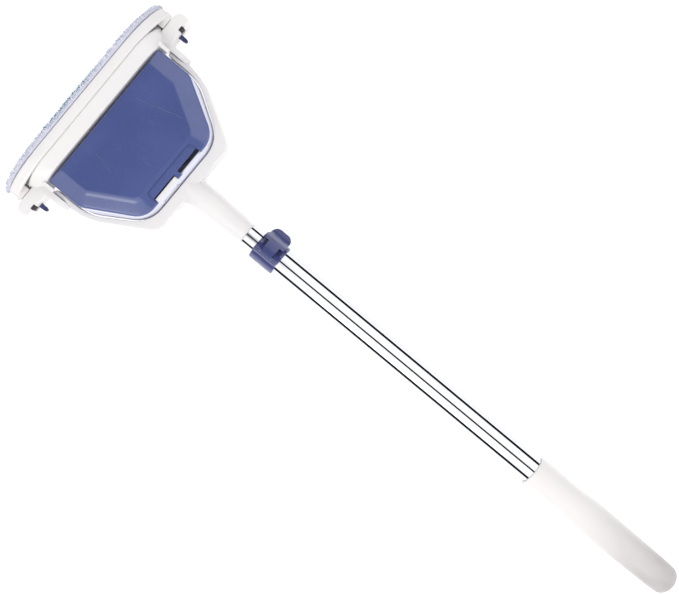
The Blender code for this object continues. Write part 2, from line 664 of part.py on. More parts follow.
def build_head(frame, mats):
    """Rail with lugs and ears, tray, carrier plate, hook strips, pad and pins."""
    rail_front = HEAD_DEPTH - GAP
    rail_back = TRAY_FRONT + GAP
    wall = RAIL_WALL
    rail = loft("rail_housing", [
        oval(RAIL_BACK_WIDTH - 0.002, RAIL_BACK_HEIGHT - 0.0018, 0.0210, rail_back),
        oval(RAIL_BACK_WIDTH + 0.001, RAIL_BACK_HEIGHT, 0.0225, rail_back + 0.0010),
        oval(RAIL_WIDTH - 0.005, RAIL_HEIGHT - 0.0024, 0.0270, rail_back + 0.0060),
        oval(RAIL_WIDTH - 0.0008, RAIL_HEIGHT - 0.0006, 0.0286, rail_front - 0.0025),
        oval(RAIL_WIDTH, RAIL_HEIGHT, 0.0290, rail_front - 0.0012),
        oval(RAIL_WIDTH - 0.0012, RAIL_HEIGHT - 0.0012, 0.0284, rail_front),
        oval(RAIL_WIDTH - 2 * wall, RAIL_HEIGHT - 2 * wall, 0.0266, rail_front),
        oval(RAIL_BACK_WIDTH - 2 * wall, RAIL_BACK_HEIGHT - 2 * wall, 0.0191,
             rail_back + wall + 0.001),
    ], frame, mats["white"])
    for side, tag in ((1, "right"), (-1, "left")):
        add_lug(rail, side, tag, frame)
        add_ear(rail, side, tag, frame)
        add_lid_knuckle(rail, side, tag, frame)
    latch_slots(rail, frame)

    tray = build_tray(frame, mats)
    carrier = build_carrier(frame, mats)
    screw_spots = [(x, z) for x in (-0.055, 0.055) for z in (-0.008, 0.005)]
    for k, (x, z) in enumerate(screw_spots):
        cut(rail, rod("rail_hole_%d" % k, SCREW_RADIUS + GAP, (x, rail_back - 0.002, z),
                      (x, rail_front, z), frame, steps=16))
        cut(tray, rod("tray_hole_%d" % k, SCREW_RADIUS + GAP, (x, TRAY_FRONT - 0.0065, z),
                      (x, TRAY_FRONT + 0.001, z), frame, steps=16))
    inner_face = rail_back + wall + 0.001 + GAP
    build_screws("tray_screw",
                 [((x, inner_face + SCREW_HEAD_HEIGHT, z), (x, TRAY_FRONT - 0.0058, z))
                  for x, z in screw_spots], frame, mats["plated"])

    strip_back = HEAD_DEPTH + CARRIER_THICKNESS - HOOK_STRIP_THICKNESS + 0.0003
    for side, tag in ((1, "top"), (-1, "bottom")):
        z = side * CARRIER_HEIGHT / 4
        half = HOOK_STRIP_WIDTH / 2
        low = (-HOOK_STRIP_LENGTH / 2, strip_back, z - half)
        high = (HOOK_STRIP_LENGTH / 2, strip_back + HOOK_STRIP_THICKNESS - 0.0002, z + half)
        cut(carrier, box("strip_seat_" + tag, [v - GAP for v in low],
                         [v + GAP for v in high], frame))
        box("hook_strip_" + tag, low, high, frame, mats["black"])

    pad_back = HEAD_DEPTH + CARRIER_THICKNESS + PAD_CLEARANCE
    pad_front = pad_back + PAD_THICKNESS
    loft("scrub_pad", [
        oval(PAD_WIDTH - 0.003, PAD_HEIGHT - 0.003, 0.047, pad_back),
        oval(PAD_WIDTH, PAD_HEIGHT, 0.0485, pad_back + 0.0015),
        oval(PAD_WIDTH, PAD_HEIGHT, 0.0485, pad_front - 0.0026),
        oval(PAD_WIDTH - 0.0016, PAD_HEIGHT - 0.0016, 0.0477, pad_front - 0.0009),
        oval(PAD_WIDTH - 0.005, PAD_HEIGHT - 0.005, 0.0460, pad_front),
    ], frame, mats["fabric"])

    for side, tag in ((1, "right"), (-1, "left")):
        rod("lid_pin_" + tag, LID_PIN_RADIUS, (side * 0.0700, LID_PIN_Y, LID_PIN_Z),
            (side * 0.0812, LID_PIN_Y, LID_PIN_Z), frame, mats["plated"], steps=16)
        coil("latch_spring_" + tag, 0.0024, 0.0002, 3,
             (side * (0.1040 + 0.0004), 0.0172, 0), (side * (0.1119 - 0.0006), 0.0172, 0),
             frame, mats["steel"])


def add_lug(rail, side, tag, frame):
    """Square lug at the rail's end, hollow towards the carrier, that houses a latch."""
    plan = rounded([
        (side * (LUG_INNER - 0.006), LUG_BACK, 0.0), (side * LUG_REACH, LUG_BACK, 0.0045),
        (side * LUG_REACH, LUG_FRONT, 0.0060), (side * (LUG_INNER - 0.006), LUG_FRONT, 0.0),
    ][::side])
    lug = slab("lug_" + tag, plan, -LUG_HALF_HEIGHT, LUG_HALF_HEIGHT, frame)
    bevel(lug, 0.0016, 2, 60)
    add(rail, lug)


def latch_slots(rail, frame):
    """Hollow the lugs from the front, and slot their backs for the thumb tabs."""
    for side, tag in ((1, "right"), (-1, "left")):
        inner = LUG_INNER + LUG_WALL + 0.0007
        outer = LUG_REACH - LUG_WALL
        hollow = sorted((side * inner, side * outer))
        cut(rail, box("lug_hollow_" + tag, (hollow[0], LUG_BACK + LUG_WALL, -0.0080),
                      (hollow[1], LUG_FRONT + 0.003, 0.0080), frame))
        slot = sorted((side * (LATCH_TAB_X - 0.0004),
                       side * (LATCH_TAB_X + LATCH_TAB_WIDTH + LATCH_TRAVEL + 0.0004)))
        cut(rail, box("tab_slot_" + tag, (slot[0], LUG_BACK - 0.001, -0.0022),
                      (slot[1], LUG_BACK + LUG_WALL + 0.001, 0.0022), frame))


def add_ear(rail, side, tag, frame):
    """Round-ended ear outside the fork's tip, with a blind bore for the pivot pin."""
    inner = FORK_TIP_OUTER_HALF + GAP
    outline = [(0.0180, -EAR_RADIUS), *[
        (EAR_RADIUS * math.cos(math.radians(a)), EAR_RADIUS * math.sin(math.radians(a)))
        for a in range(270, 89, -12)
    ], (0.0180, EAR_RADIUS)]
    ends = sorted((side * inner, side * (inner + EAR_THICKNESS)))
    ear = slab("ear_" + tag, outline, ends[0], ends[1], frame, normal="X")
    add(rail, ear)
    depth = FORK_TIP_OUTER_HALF + GAP + EAR_THICKNESS - 0.0013
    cut(rail, rod("ear_bore_" + tag, PIVOT_RADIUS + RUN, (side * (inner - 0.002), 0, 0),
                  (side * depth, 0, 0), frame))


def add_lid_knuckle(rail, side, tag, frame):
    """Small block on the rail's back that holds the end of a lid pin."""
    ends = sorted((side * (FORK_INNER_HALF + 0.0003), side * 0.0822))
    outline = [
        (0.0165, LID_PIN_Z - 0.0035), (LID_PIN_Y + 0.0008, LID_PIN_Z - 0.0030),
        (LID_PIN_Y - 0.0018, LID_PIN_Z - 0.0016), (LID_PIN_Y - 0.0025, LID_PIN_Z + 0.0006),
        (LID_PIN_Y - 0.0018, LID_PIN_Z + 0.0024), (LID_PIN_Y + 0.0008, LID_PIN_Z + 0.0032),
        (0.0165, LID_PIN_Z + 0.0034),
    ]
    add(rail, slab("lid_knuckle_" + tag, outline, ends[0], ends[1], frame, normal="X"))
    cut(rail, rod("lid_knuckle_bore_" + tag, LID_PIN_RADIUS + RUN,
                  (side * 0.0770, LID_PIN_Y, LID_PIN_Z), (side * 0.0816, LID_PIN_Y, LID_PIN_Z),
                  frame, steps=16))


def build_tray(frame, mats):
    """Open tub whose belly just clears the fork, with drafted walls."""
    floor = -TRAY_DROP
    shares = TRAY_DROP / LID_EDGE
    tray = loft("tray", [
        tray_outline(0.0040, floor, shares),
        tray_outline(0.0012, floor + 0.0012, shares * 0.95),
        tray_outline(0.0, floor + 0.0040, shares * 0.80),
        tray_outline(0.0, 0.0, 0.0),
        tray_outline(TRAY_TUCK, TRAY_SHOULDER, 0.0),
        tray_outline(0.0, TRAY_RIM - 0.0006, 1.0),
        tray_outline(0.0004, TRAY_RIM, 1.0),
        tray_outline(TRAY_WALL, TRAY_RIM, 1.0),
        tray_outline(TRAY_WALL + TRAY_TUCK, TRAY_SHOULDER - 0.0010, 0.0),
        tray_outline(TRAY_WALL, 0.0, 0.0),
        tray_outline(TRAY_WALL + 0.0010, floor + 0.0040, shares * 0.80),
        tray_outline(TRAY_WALL + 0.0040, floor + TRAY_WALL, shares * 0.95),
    ], frame, mats["white"])
    cut(tray, box("tray_front_relief", (-FORK_INNER_HALF, LID_PIN_Y - 0.0024, LID_PIN_Z - 0.0068),
                  (FORK_INNER_HALF, TRAY_FRONT + 0.001, TRAY_RIM + 0.002), frame))
    for x in (-0.055, 0.055):
        boss = box("tray_boss_%d" % round(x * 1000), (x - 0.005, TRAY_FRONT - 0.0080, -0.0125),
                   (x + 0.005, TRAY_FRONT - 0.0010, 0.0095), frame)
        add(tray, boss)
    window = box("catch_window", (-0.0245, LID_REAR - 0.0053, 0.0065),
                 (-0.0045, LID_REAR + 0.0037, 0.0100), frame)
    cut(tray, window)
    return tray


def build_carrier(frame, mats):
    """Clip-on plate with hollow back, latch posts and two slotted tongues."""
    back = HEAD_DEPTH
    front = HEAD_DEPTH + CARRIER_THICKNESS
    wall = CARRIER_WALL
    end = END_LENGTH
    carrier = loft("carrier_plate", [
        oval(CARRIER_WIDTH - 0.005, CARRIER_HEIGHT - 0.005, end - 0.0025, front),
        oval(CARRIER_WIDTH - 0.0015, CARRIER_HEIGHT - 0.0015, end - 0.0007, front - 0.0008),
        oval(CARRIER_WIDTH, CARRIER_HEIGHT, end, front - 0.0025),
        oval(CARRIER_WIDTH, CARRIER_HEIGHT, end, back + 0.0022),
        oval(CARRIER_WIDTH - 0.0012, CARRIER_HEIGHT - 0.0012, end - 0.0006, back + 0.0007),
        oval(CARRIER_WIDTH - 0.0036, CARRIER_HEIGHT - 0.0036, end - 0.0018, back),
        oval(CARRIER_WIDTH - 0.0036 - 2 * wall, CARRIER_HEIGHT - 0.0036 - 2 * wall,
             end - 0.0018 - wall, back),
        oval(CARRIER_WIDTH - 0.0040 - 2 * wall, CARRIER_HEIGHT - 0.0040 - 2 * wall,
             end - 0.0020 - wall, front - wall - 0.0012),
    ], frame, mats["white"])
    post_height = LUG_HALF_HEIGHT - 0.0003
    for side, tag in ((1, "right"), (-1, "left")):
        plan = rounded([
            (side * (RAIL_WIDTH / 2 + GAP), LUG_FRONT + GAP, 0.0),
            (side * 0.1065, LUG_FRONT + GAP, 0.0030),
            (side * 0.1065, front - wall, 0.0), (side * (RAIL_WIDTH / 2 + GAP), front - wall, 0.0),
        ][::side])
        add(carrier, slab("latch_post_" + tag, plan, -post_height, post_height, frame))
        ends = sorted((side * 0.0942, side * 0.0962))
        add(carrier, box("tongue_" + tag, (ends[0], 0.0145, -0.0050),
                         (ends[1], front - wall, 0.0050), frame))
        hole = sorted((side * 0.0930, side * 0.0970))
        cut(carrier, box("tongue_eye_" + tag, (hole[0], 0.0164, -0.0021),
                         (hole[1], 0.0206, 0.0021), frame))
    return carrier


def build_latch(side, tag, frame, mats):
    """Sliding latch: block in the lug, bolt through the tongue, thumb tab at the back."""
    def x_span(near, far):
        return sorted((side * (near - LATCH_TAB_X), side * (far - LATCH_TAB_X)))

    block = x_span(0.0972, 0.1036)
    latch = box("latch_" + tag, (block[0], LUG_BACK + LUG_WALL + GAP, -0.0070),
                (block[1], LUG_FRONT - 0.0030, 0.0070), frame, mats["dark"])
    bolt = x_span(0.0928, 0.0980)
    add(latch, box("bolt_" + tag, (bolt[0], 0.0168, -0.0017), (bolt[1], 0.0202, 0.0017), frame))
    span = x_span(LATCH_TAB_X, LATCH_TAB_X + LATCH_TAB_WIDTH)
    reach = LUG_BACK - LATCH_TAB_REACH
    middle = (span[0] + span[1]) / 2
    blade = [
        (span[0], LUG_BACK + LUG_WALL + 0.002), (span[0], reach + 0.0030),
        (span[0] + 0.0006, reach + 0.0008), (middle, reach),
        (span[1] - 0.0006, reach + 0.0008), (span[1], reach + 0.0030),
        (span[1], LUG_BACK + LUG_WALL + 0.002),
    ]
    add(latch, slab("tab_" + tag, blade, -0.0018, 0.0018, frame))


# ---------------------------------------------------------------- lid

def build_lid(frame, mats):
    """Chamfered lid with two pin bosses, a finger notch and a rib across the notch."""
    shift = Vector((0, -LID_PIN_Y, -LID_PIN_Z))

    def at(inset, z, share, front):
        return [point + shift for point in tray_outline(inset, z, share, LID_FRONT_GAP + front)]

    low = TRAY_RIM + GAP
    lid = loft("lid", [
        at(LID_CHAMFER + 0.001, LID_CROWN - LID_WALL, 1.0, LID_WALL + 0.0024),
        at(LID_WALL + 0.002, LID_EDGE - 0.0010, 1.0, LID_WALL + 0.0010),
        at(LID_WALL, low, 1.0, LID_WALL),
        at(0.0, low, 1.0, 0.0),
        at(0.0, LID_EDGE - 0.0022, 1.0, 0.0),
        at(0.0006, LID_EDGE - 0.0007, 1.0, 0.0002),
        at(0.0022, LID_EDGE, 1.0, 0.0004),
        at(LID_CHAMFER, LID_CROWN - 0.0003, 1.0, 0.0032),
        at(LID_CHAMFER + 0.0015, LID_CROWN, 1.0, 0.0048),
    ], frame, mats["blue"])
    front = TRAY_FRONT - LID_PIN_Y
    cut(lid, box("lid_front_relief", (-0.0820, 0.0022, low - LID_PIN_Z - 0.002),
                 (0.0820, front + 0.002, 0.0), frame))
    for side, tag in ((1, "right"), (-1, "left")):
        ends = sorted((side * 0.0690, side * (FORK_INNER_HALF - SWING - 0.0012)))
        add(lid, box("pin_boss_" + tag, (ends[0], -0.0030, -0.0024),
                     (ends[1], 0.0026, LID_EDGE - LID_PIN_Z - 0.0003), frame))
        cut(lid, rod("lid_bore_" + tag, LID_PIN_RADIUS + RUN, (side * 0.0695, 0, 0),
                     (side * 0.0800, 0, 0), frame, steps=16))
    rear = LID_REAR - LID_PIN_Y
    notch_front = rear + NOTCH_DEPTH
    low_z = low - LID_PIN_Z - 0.001
    cut(lid, box("finger_slot", (0.0040, rear - 0.004, low_z), (NOTCH_REACH, notch_front, 0.010),
                 frame))
    cut(lid, box("catch_slot", (-NOTCH_REACH + CATCH_SIDE_GAP, rear - 0.004, low_z),
                 (-CATCH_SIDE_GAP, notch_front, 0.010), frame))
    add(lid, box("scoop_floor", (-NOTCH_REACH - 0.0015, notch_front - 0.0002,
                                 LID_EDGE - LID_WALL - LID_PIN_Z + 0.0002),
                 (NOTCH_REACH + 0.0015, notch_front + 0.0085, LID_EDGE - LID_PIN_Z + 0.0010),
                 frame))
    scoop = rounded([
        (-NOTCH_REACH, rear - 0.004, 0.0), (NOTCH_REACH, rear - 0.004, 0.0),
        (NOTCH_REACH, notch_front + 0.0060, 0.004), (-NOTCH_REACH, notch_front + 0.0060, 0.004),
    ])
    cut(lid, slab("finger_scoop", scoop, LID_EDGE - LID_PIN_Z + 0.0002, 0.020, frame))
    return lid


def build_catch(frame, lid_frame, mats):
    """Sprung catch in the lid's notch, with a nose under the tray's rim."""
    half = NOTCH_REACH / 2 - CATCH_SIDE_GAP - GAP
    catch = box("lid_catch", (-half, -0.0020, 0.0003), (half, 0.0016, 0.0038),
                frame, mats["white"])
    bevel(catch, 0.0005, 1, 60)
    add(catch, box("catch_stem", (-0.0085, 0.0001, -0.0068), (0.0085, 0.0014, 0.0010), frame))
    add(catch, box("catch_nose", (-0.0085, -0.0045, -0.0068), (0.0085, 0.0010, -0.0048), frame))
    back = frame.location + Vector((0, 0.0014 + GAP + 0.0002, -0.0035))
    coil("catch_spring", 0.0014, 0.0002, 3, back, back + Vector((0, 0.0052, 0)),
         lid_frame, mats["steel"])


# ---------------------------------------------------------------- assembly

def build_brush():
    mats = {
        "white": material("white_plastic", WHITE, 0.38),
        "grip": material("grip_plastic", GRIP_GREY, 0.50),
        "blue": material("blue_plastic", BLUE, 0.36),
        "dark": material("dark_blue_plastic", DARK_BLUE, 0.42),
        "steel": material("polished_steel", STEEL, 0.16, 1.0),
        "plated": material("plated_steel", PLATED, 0.30, 1.0),
        "nylon": material("grey_nylon", NYLON, 0.50),
        "fabric": material("pile_fabric", PALE_FABRIC, 0.95),
        "black": material("hook_tape", BLACK, 0.85),
    }
    pole = frame_at("pole_frame", (0, 0, AXIS_Z))
    build_handle(pole, mats)
    lever_y = (CLAMP_Y + CLAMP_FRONT_Y) / 2
    build_lever(frame_at("lever_frame", (LEVER_PIN_X, lever_y, LEVER_PIN_RISE), pole), mats)
    build_guide(frame_at("guide_frame", (0, 0, 0), pole), mats)
    stem = frame_at("stem_frame", (0, 0, 0), pole)
    build_stem(stem, mats)
    head = frame_at("head_frame", (0, TILT_Y, 0), stem)
    build_head(head, mats)
    for side, tag in ((1, "right"), (-1, "left")):
        latch_frame = frame_at("latch_frame_" + tag, (side * LATCH_TAB_X, 0, 0), head)
        build_latch(side, tag, latch_frame, mats)
    lid_frame = frame_at("lid_frame", (0, LID_PIN_Y, LID_PIN_Z), head)
    build_lid(lid_frame, mats)
    catch_spot = (-NOTCH_REACH / 2, LID_REAR - LID_PIN_Y + CATCH_INSET, TRAY_RIM - LID_PIN_Z)
    build_catch(frame_at("catch_frame", catch_spot, lid_frame), lid_frame, mats)


clear_scene()
PARTS = new_collection("telescopic_wall_brush")
CUTTERS = new_collection("cutters")
build_brush()
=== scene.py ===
"""Finished look of the telescopic wall brush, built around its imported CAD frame.

Metres, in the CAD's own frame: +Y runs along the pole from the grip to the pad, X runs
across the head, and +Z is up on the lid's side.
"""
from __future__ import annotations

import json
import logging
import math
import random
from dataclasses import dataclass
from enum import Enum
from typing import Any, Iterable, Sequence

import bmesh
import bpy
import numpy as np
from mathutils import Matrix, Vector

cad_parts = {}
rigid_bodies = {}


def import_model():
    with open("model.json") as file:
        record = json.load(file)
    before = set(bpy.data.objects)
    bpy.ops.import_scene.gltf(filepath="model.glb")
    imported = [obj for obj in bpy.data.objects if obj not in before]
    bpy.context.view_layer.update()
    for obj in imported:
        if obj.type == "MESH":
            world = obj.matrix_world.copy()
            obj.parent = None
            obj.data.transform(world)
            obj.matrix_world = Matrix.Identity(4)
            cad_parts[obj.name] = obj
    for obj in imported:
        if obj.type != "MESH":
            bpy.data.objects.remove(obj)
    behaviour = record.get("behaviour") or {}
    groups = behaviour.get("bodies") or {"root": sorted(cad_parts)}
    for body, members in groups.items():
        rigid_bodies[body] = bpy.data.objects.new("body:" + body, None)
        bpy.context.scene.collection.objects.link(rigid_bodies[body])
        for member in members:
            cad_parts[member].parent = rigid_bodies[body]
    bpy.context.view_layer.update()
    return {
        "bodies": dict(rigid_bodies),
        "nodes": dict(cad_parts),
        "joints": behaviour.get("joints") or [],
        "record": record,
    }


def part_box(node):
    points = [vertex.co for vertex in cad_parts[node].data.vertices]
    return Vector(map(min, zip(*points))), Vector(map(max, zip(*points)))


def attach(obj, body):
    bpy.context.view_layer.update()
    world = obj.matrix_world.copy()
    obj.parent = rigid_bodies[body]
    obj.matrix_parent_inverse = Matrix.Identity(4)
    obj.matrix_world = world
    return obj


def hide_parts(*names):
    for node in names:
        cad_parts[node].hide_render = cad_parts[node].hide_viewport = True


LOG = logging.getLogger("wall_brush")
AXIS_Z = 0.032
TILT_Y = 0.3025
SMOOTH_ANGLE = math.radians(32)


# ------------------------------------------------------------------ shader maths

class Wire:
    """A value in a material's node tree, which adds Math nodes as it is reckoned with."""

    def __init__(self, graph: "Graph", socket: bpy.types.NodeSocket) -> None:
        """Wrap a socket.

        Args:
            graph: The node tree's owner.
            socket: The output socket that carries the value.
        """
        self.graph = graph
        self.socket = socket

    def reckon(self, operation: str, first: Any, second: Any = None) -> "Wire":
        """Add one Math node.

        Args:
            operation: The Math node's operation.
            first: A wire or a number.
            second: A wire or a number, or None for a one-sided operation.

        Returns:
            The node's result.
        """
        inputs = {0: first} if second is None else {0: first, 1: second}
        return self.graph.node("ShaderNodeMath", {"operation": operation}, inputs)

    def __add__(self, other: Any) -> "Wire":
        """Sum."""
        return self.reckon("ADD", self, other)

    __radd__ = __add__

    def __sub__(self, other: Any) -> "Wire":
        """Difference."""
        return self.reckon("SUBTRACT", self, other)

    def __rsub__(self, other: Any) -> "Wire":
        """Reflected difference."""
        return self.reckon("SUBTRACT", other, self)

    def __mul__(self, other: Any) -> "Wire":
        """Product."""
        return self.reckon("MULTIPLY", self, other)

    __rmul__ = __mul__

    def __abs__(self) -> "Wire":
        """Size without sign."""
        return self.reckon("ABSOLUTE", self)

    def fade(self, low: float, high: float) -> "Wire":
        """Map a range smoothly onto 0 to 1.

        Args:
            low: The value that gives 0.
            high: The value that gives 1.

        Returns:
            The mapped value, held within 0 and 1.
        """
        settings = {"interpolation_type": "SMOOTHSTEP"}
        inputs = {"Value": self, "From Min": low, "From Max": high}
        return self.graph.node("ShaderNodeMapRange", settings, inputs)


class Graph:
    """One material's or world's nodes."""

    def __init__(self, name: str, world: bool = False) -> None:
        """Start a material or a world with its main shader.

        Args:
            name: Its name.
            world: Whether it is a world.
        """
        store = bpy.data.worlds if world else bpy.data.materials
        self.owner = store.new(name)
        self.owner.use_nodes = True
        self.tree = self.owner.node_tree
        self.shader = self.tree.nodes["Background" if world else "Principled BSDF"]

    def node(self, kind: str, settings: dict[str, Any], inputs: dict[Any, Any],
             output: str | int = 0) -> Wire:
        """Add any node.

        Args:
            kind: The node's type.
            settings: Its properties, set first.
            inputs: Values or wires by socket name or place.
            output: The output socket wanted.

        Returns:
            That output as a wire.
        """
        node = self.tree.nodes.new(kind)
        for key, value in settings.items():
            setattr(node, key, value)
        for key, value in inputs.items():
            self.feed(node.inputs[key], value)
        return Wire(self, node.outputs[output])

    def feed(self, socket: bpy.types.NodeSocket, value: Any) -> None:
        """Link a wire to a socket, or set a plain value on it.

        Args:
            socket: The input socket.
            value: A wire, a number, a colour or a vector.
        """
        if isinstance(value, Wire):
            self.tree.links.new(value.socket, socket)
        elif isinstance(value, tuple) and len(value) == 3 and socket.type == "RGBA":
            socket.default_value = (*value, 1.0)
        else:
            socket.default_value = value

    def spot(self, scale: tuple[float, float, float] = (1.0, 1.0, 1.0)) -> Wire:
        """Give Object coordinates, stretched along the axes.

        Args:
            scale: How many pattern units lie in one metre along each axis.

        Returns:
            The stretched position.
        """
        place = self.node("ShaderNodeTexCoord", {}, {}, "Object")
        return self.node("ShaderNodeMapping", {}, {"Vector": place, "Scale": scale})

    def axis(self, letter: str) -> Wire:
        """Give one Object coordinate in metres."""
        place = self.node("ShaderNodeTexCoord", {}, {}, "Object")
        return self.node("ShaderNodeSeparateXYZ", {}, {"Vector": place}, letter)

    def noise(self, size: float, detail: float = 2.0,
              stretch: tuple[float, float, float] = (1.0, 1.0, 1.0)) -> Wire:
        """Give smooth noise from 0 to 1.

        Args:
            size: The width of its patches in metres.
            detail: How many finer layers it has.
            stretch: How much longer a patch is along each axis.

        Returns:
            The noise value.
        """
        scale = tuple(1.0 / (size * s) for s in stretch)
        inputs = {"Vector": self.spot(scale), "Scale": 1.0, "Detail": detail}
        return self.node("ShaderNodeTexNoise", {}, inputs, "Fac")

    def blend(self, amount: Any, first: Any, second: Any) -> Wire:
        """Mix two colours.

        Args:
            amount: 0 for the first, 1 for the second.
            first: A colour or a wire.
            second: A colour or a wire.

        Returns:
            The mixed colour.
        """
        inputs = {0: amount, 6: first, 7: second}
        return self.node("ShaderNodeMix", {"data_type": "RGBA"}, inputs, 2)

    def relief(self, height: Wire, depth: float, strength: float = 1.0) -> Wire:
        """Turn a height from 0 to 1 into a bumped normal.

        Args:
            height: The height pattern.
            depth: The depth of its full range in metres.
            strength: The share of the bump that is used.

        Returns:
            The normal.
        """
        inputs = {"Height": height, "Distance": depth, "Strength": strength}
        return self.node("ShaderNodeBump", {}, inputs)

    def finish(self, **values: Any) -> bpy.types.Material:
        """Feed the Principled shader and give the material.

        Args:
            **values: Its sockets, with _ for a space.

        Returns:
            The finished material.
        """
        for key, value in values.items():
            self.feed(self.shader.inputs[key.replace("_", " ")], value)
        return self.owner


# ------------------------------------------------------------------ finishes

Colour = tuple[float, float, float]


@dataclass(frozen=True)
class Moulded:
    """Injection-moulded plastic: a fine spark-eroded skin, slow shade drift and scuffs."""

    name: str
    colour: Colour
    drift: Colour
    roughness: float = 0.38
    grain: float = 0.0005
    grain_depth: float = 0.00003
    coat: float = 0.0

    def make(self) -> bpy.types.Material:
        """Build the material.

        Returns:
            The plastic's material.
        """
        graph = Graph(self.name)
        slow = graph.noise(0.045, 3.0).fade(0.35, 0.65)
        base = graph.blend(slow, self.colour, self.drift)
        scuff = graph.noise(0.009, 5.0, (1.0, 3.0, 1.0)).fade(0.55, 0.85)
        skin = graph.noise(self.grain, 2.0)
        rough = skin * 0.10 + scuff * 0.02 + (self.roughness - 0.05)
        return graph.finish(
            Base_Color=base, Roughness=rough, Coat_Weight=self.coat,
            Normal=graph.relief(skin, self.grain_depth),
        )


@dataclass(frozen=True)
class GripPlastic:
    """Matt grip whose white darkens towards the far end as painted shade, with a fine leathery skin.
    """

    name: str
    pale: Colour
    end_shade: Colour
    pale_y: float
    end_shade_y: float

    def make(self) -> bpy.types.Material:
        """Build the material.

        Returns:
            The grip's material.
        """
        graph = Graph(self.name)
        # Painted shade: the pale white blends into the darker second colour towards the grip's far
        # end.
        along = graph.axis("Y").fade(self.pale_y, self.end_shade_y)
        clouds = graph.noise(0.018, 4.0, (1.0, 2.5, 1.0)).fade(0.3, 0.7)
        base = graph.blend(along * (0.7 + clouds * 0.3), self.pale, self.end_shade)
        pores = graph.node("ShaderNodeTexVoronoi", {"feature": "SMOOTH_F1"},
                           {"Vector": graph.spot((900.0,) * 3), "Scale": 1.0}, "Distance")
        rough = 0.46 + clouds * 0.08
        return graph.finish(Base_Color=base, Roughness=rough,
                            Normal=graph.relief(pores, 0.00006, 0.6))


@dataclass(frozen=True)
class Steel:
    """Metal with fine lines drawn along the pole and faint finger smudges."""

    name: str
    colour: Colour
    roughness: float
    line_depth: float = 0.0

    def make(self) -> bpy.types.Material:
        """Build the material.

        Returns:
            The metal's material.
        """
        graph = Graph(self.name)
        lines = graph.noise(0.00035, 2.0, (1.0, 160.0, 1.0))
        smudge = graph.noise(0.030, 4.0, (1.0, 2.0, 1.0)).fade(0.50, 0.75)
        rough = lines * 0.02 + smudge * 0.03 + self.roughness
        tone = graph.blend(smudge * 0.15, self.colour, tuple(0.92 * c for c in self.colour))
        normal = {"Normal": graph.relief(lines, self.line_depth)} if self.line_depth else {}
        return graph.finish(Base_Color=tone, Roughness=rough, Metallic=1.0, **normal)


@dataclass(frozen=True)
class Pile:
    """Loop pile that is pale with blue flecks, and teal along one stretch of its face."""

    name: str
    pale: Colour
    fleck: Colour
    band: Colour
    band_from: float
    band_to: float

    def make(self) -> bpy.types.Material:
        """Build the material.

        Returns:
            The pile's material.
        """
        graph = Graph(self.name)
        across = graph.axis("X") + (graph.noise(0.012, 2.0) - 0.5) * 0.02
        inside = across.fade(self.band_from - 0.006, self.band_from + 0.006)
        inside = inside * (1.0 - across.fade(self.band_to - 0.010, self.band_to + 0.010))
        front = graph.axis("Y").fade(0.3456, 0.3468)
        own = graph.node("ShaderNodeAttribute", {"attribute_name": "tuft_shade"}, {}, "Fac")
        flecked = graph.blend((own * 1.1 - 0.35 + inside * 0.45).fade(0.0, 1.0),
                              self.pale, self.fleck)
        teal = graph.blend(inside * front * (0.75 + own * 0.25), flecked, self.band)
        fibre = graph.noise(0.00035, 3.0, (1.0, 1.0, 1.0))
        return graph.finish(
            Base_Color=teal, Roughness=0.92, Sheen_Weight=0.25,
            Normal=graph.relief(fibre, 0.0002, 0.7),
        )


@dataclass(frozen=True)
class HookTape:
    """Black hook tape with rows of tiny hooks."""

    name: str
    colour: Colour

    def make(self) -> bpy.types.Material:
        """Build the material.

        Returns:
            The tape's material.
        """
        graph = Graph(self.name)
        hooks = graph.node("ShaderNodeTexVoronoi", {},
                           {"Vector": graph.spot((700.0,) * 3), "Scale": 1.0}, "Distance")
        base = graph.blend(hooks.fade(0.2, 0.7), tuple(2.5 * c for c in self.colour), self.colour)
        return graph.finish(Base_Color=base, Roughness=0.8,
                            Normal=graph.relief(hooks, 0.0004))


class Finish(Enum):
    """Every finish on the brush, by the record's material slot that it belongs to."""

    WHITE = ("white_plastic", Moulded("white_plastic", (0.855, 0.832, 0.826), (0.835, 0.82, 0.822)))
    # The tray is white plastic; its lavender colour is painted shade and a painted reflection of the
    # blue lid.
    TRAY = ("white_plastic", Moulded("tray_painted_shade", (0.84, 0.85, 0.97), (0.82, 0.83, 0.96)))
    BLUE = ("blue_plastic", Moulded("blue_plastic", (0.078, 0.106, 0.288), (0.068, 0.094, 0.262),
                                    0.26, 0.0006, 0.00003, 0.55))
    CLAMP = ("blue_plastic", Moulded("clamp_plastic", (0.060, 0.072, 0.215),
                                     (0.046, 0.056, 0.175), 0.26, coat=0.6))
    DARK = ("dark_plastic", Moulded("dark_plastic", (0.045, 0.055, 0.160),
                                    (0.035, 0.042, 0.130), 0.36))
    NYLON = ("nylon", Moulded("nylon", (0.52, 0.54, 0.60), (0.48, 0.50, 0.56), 0.48))
    # The grip's second colour is painted shade on its far end.
    GRIP = ("grip_plastic", GripPlastic("grip_plastic", (0.86, 0.835, 0.828),
                                        (0.50, 0.475, 0.47), -0.225, -0.345))
    TUBE = ("polished_steel", Steel("polished_steel", (0.75, 0.755, 0.79), 0.03))
    PLATED = ("plated_steel", Steel("plated_steel", (0.62, 0.62, 0.65), 0.24, 0.00001))
    PILE = ("pad_fabric", Pile("pad_pile", (0.76, 0.76, 0.86), (0.54, 0.60, 0.72),
                               (0.050, 0.205, 0.250), -0.048, 0.023))
    TAPE = ("hook_tape", HookTape("hook_tape", (0.02, 0.02, 0.022)))

    @property
    def slot(self) -> str:
        """The record's slot."""
        return self.value[0]


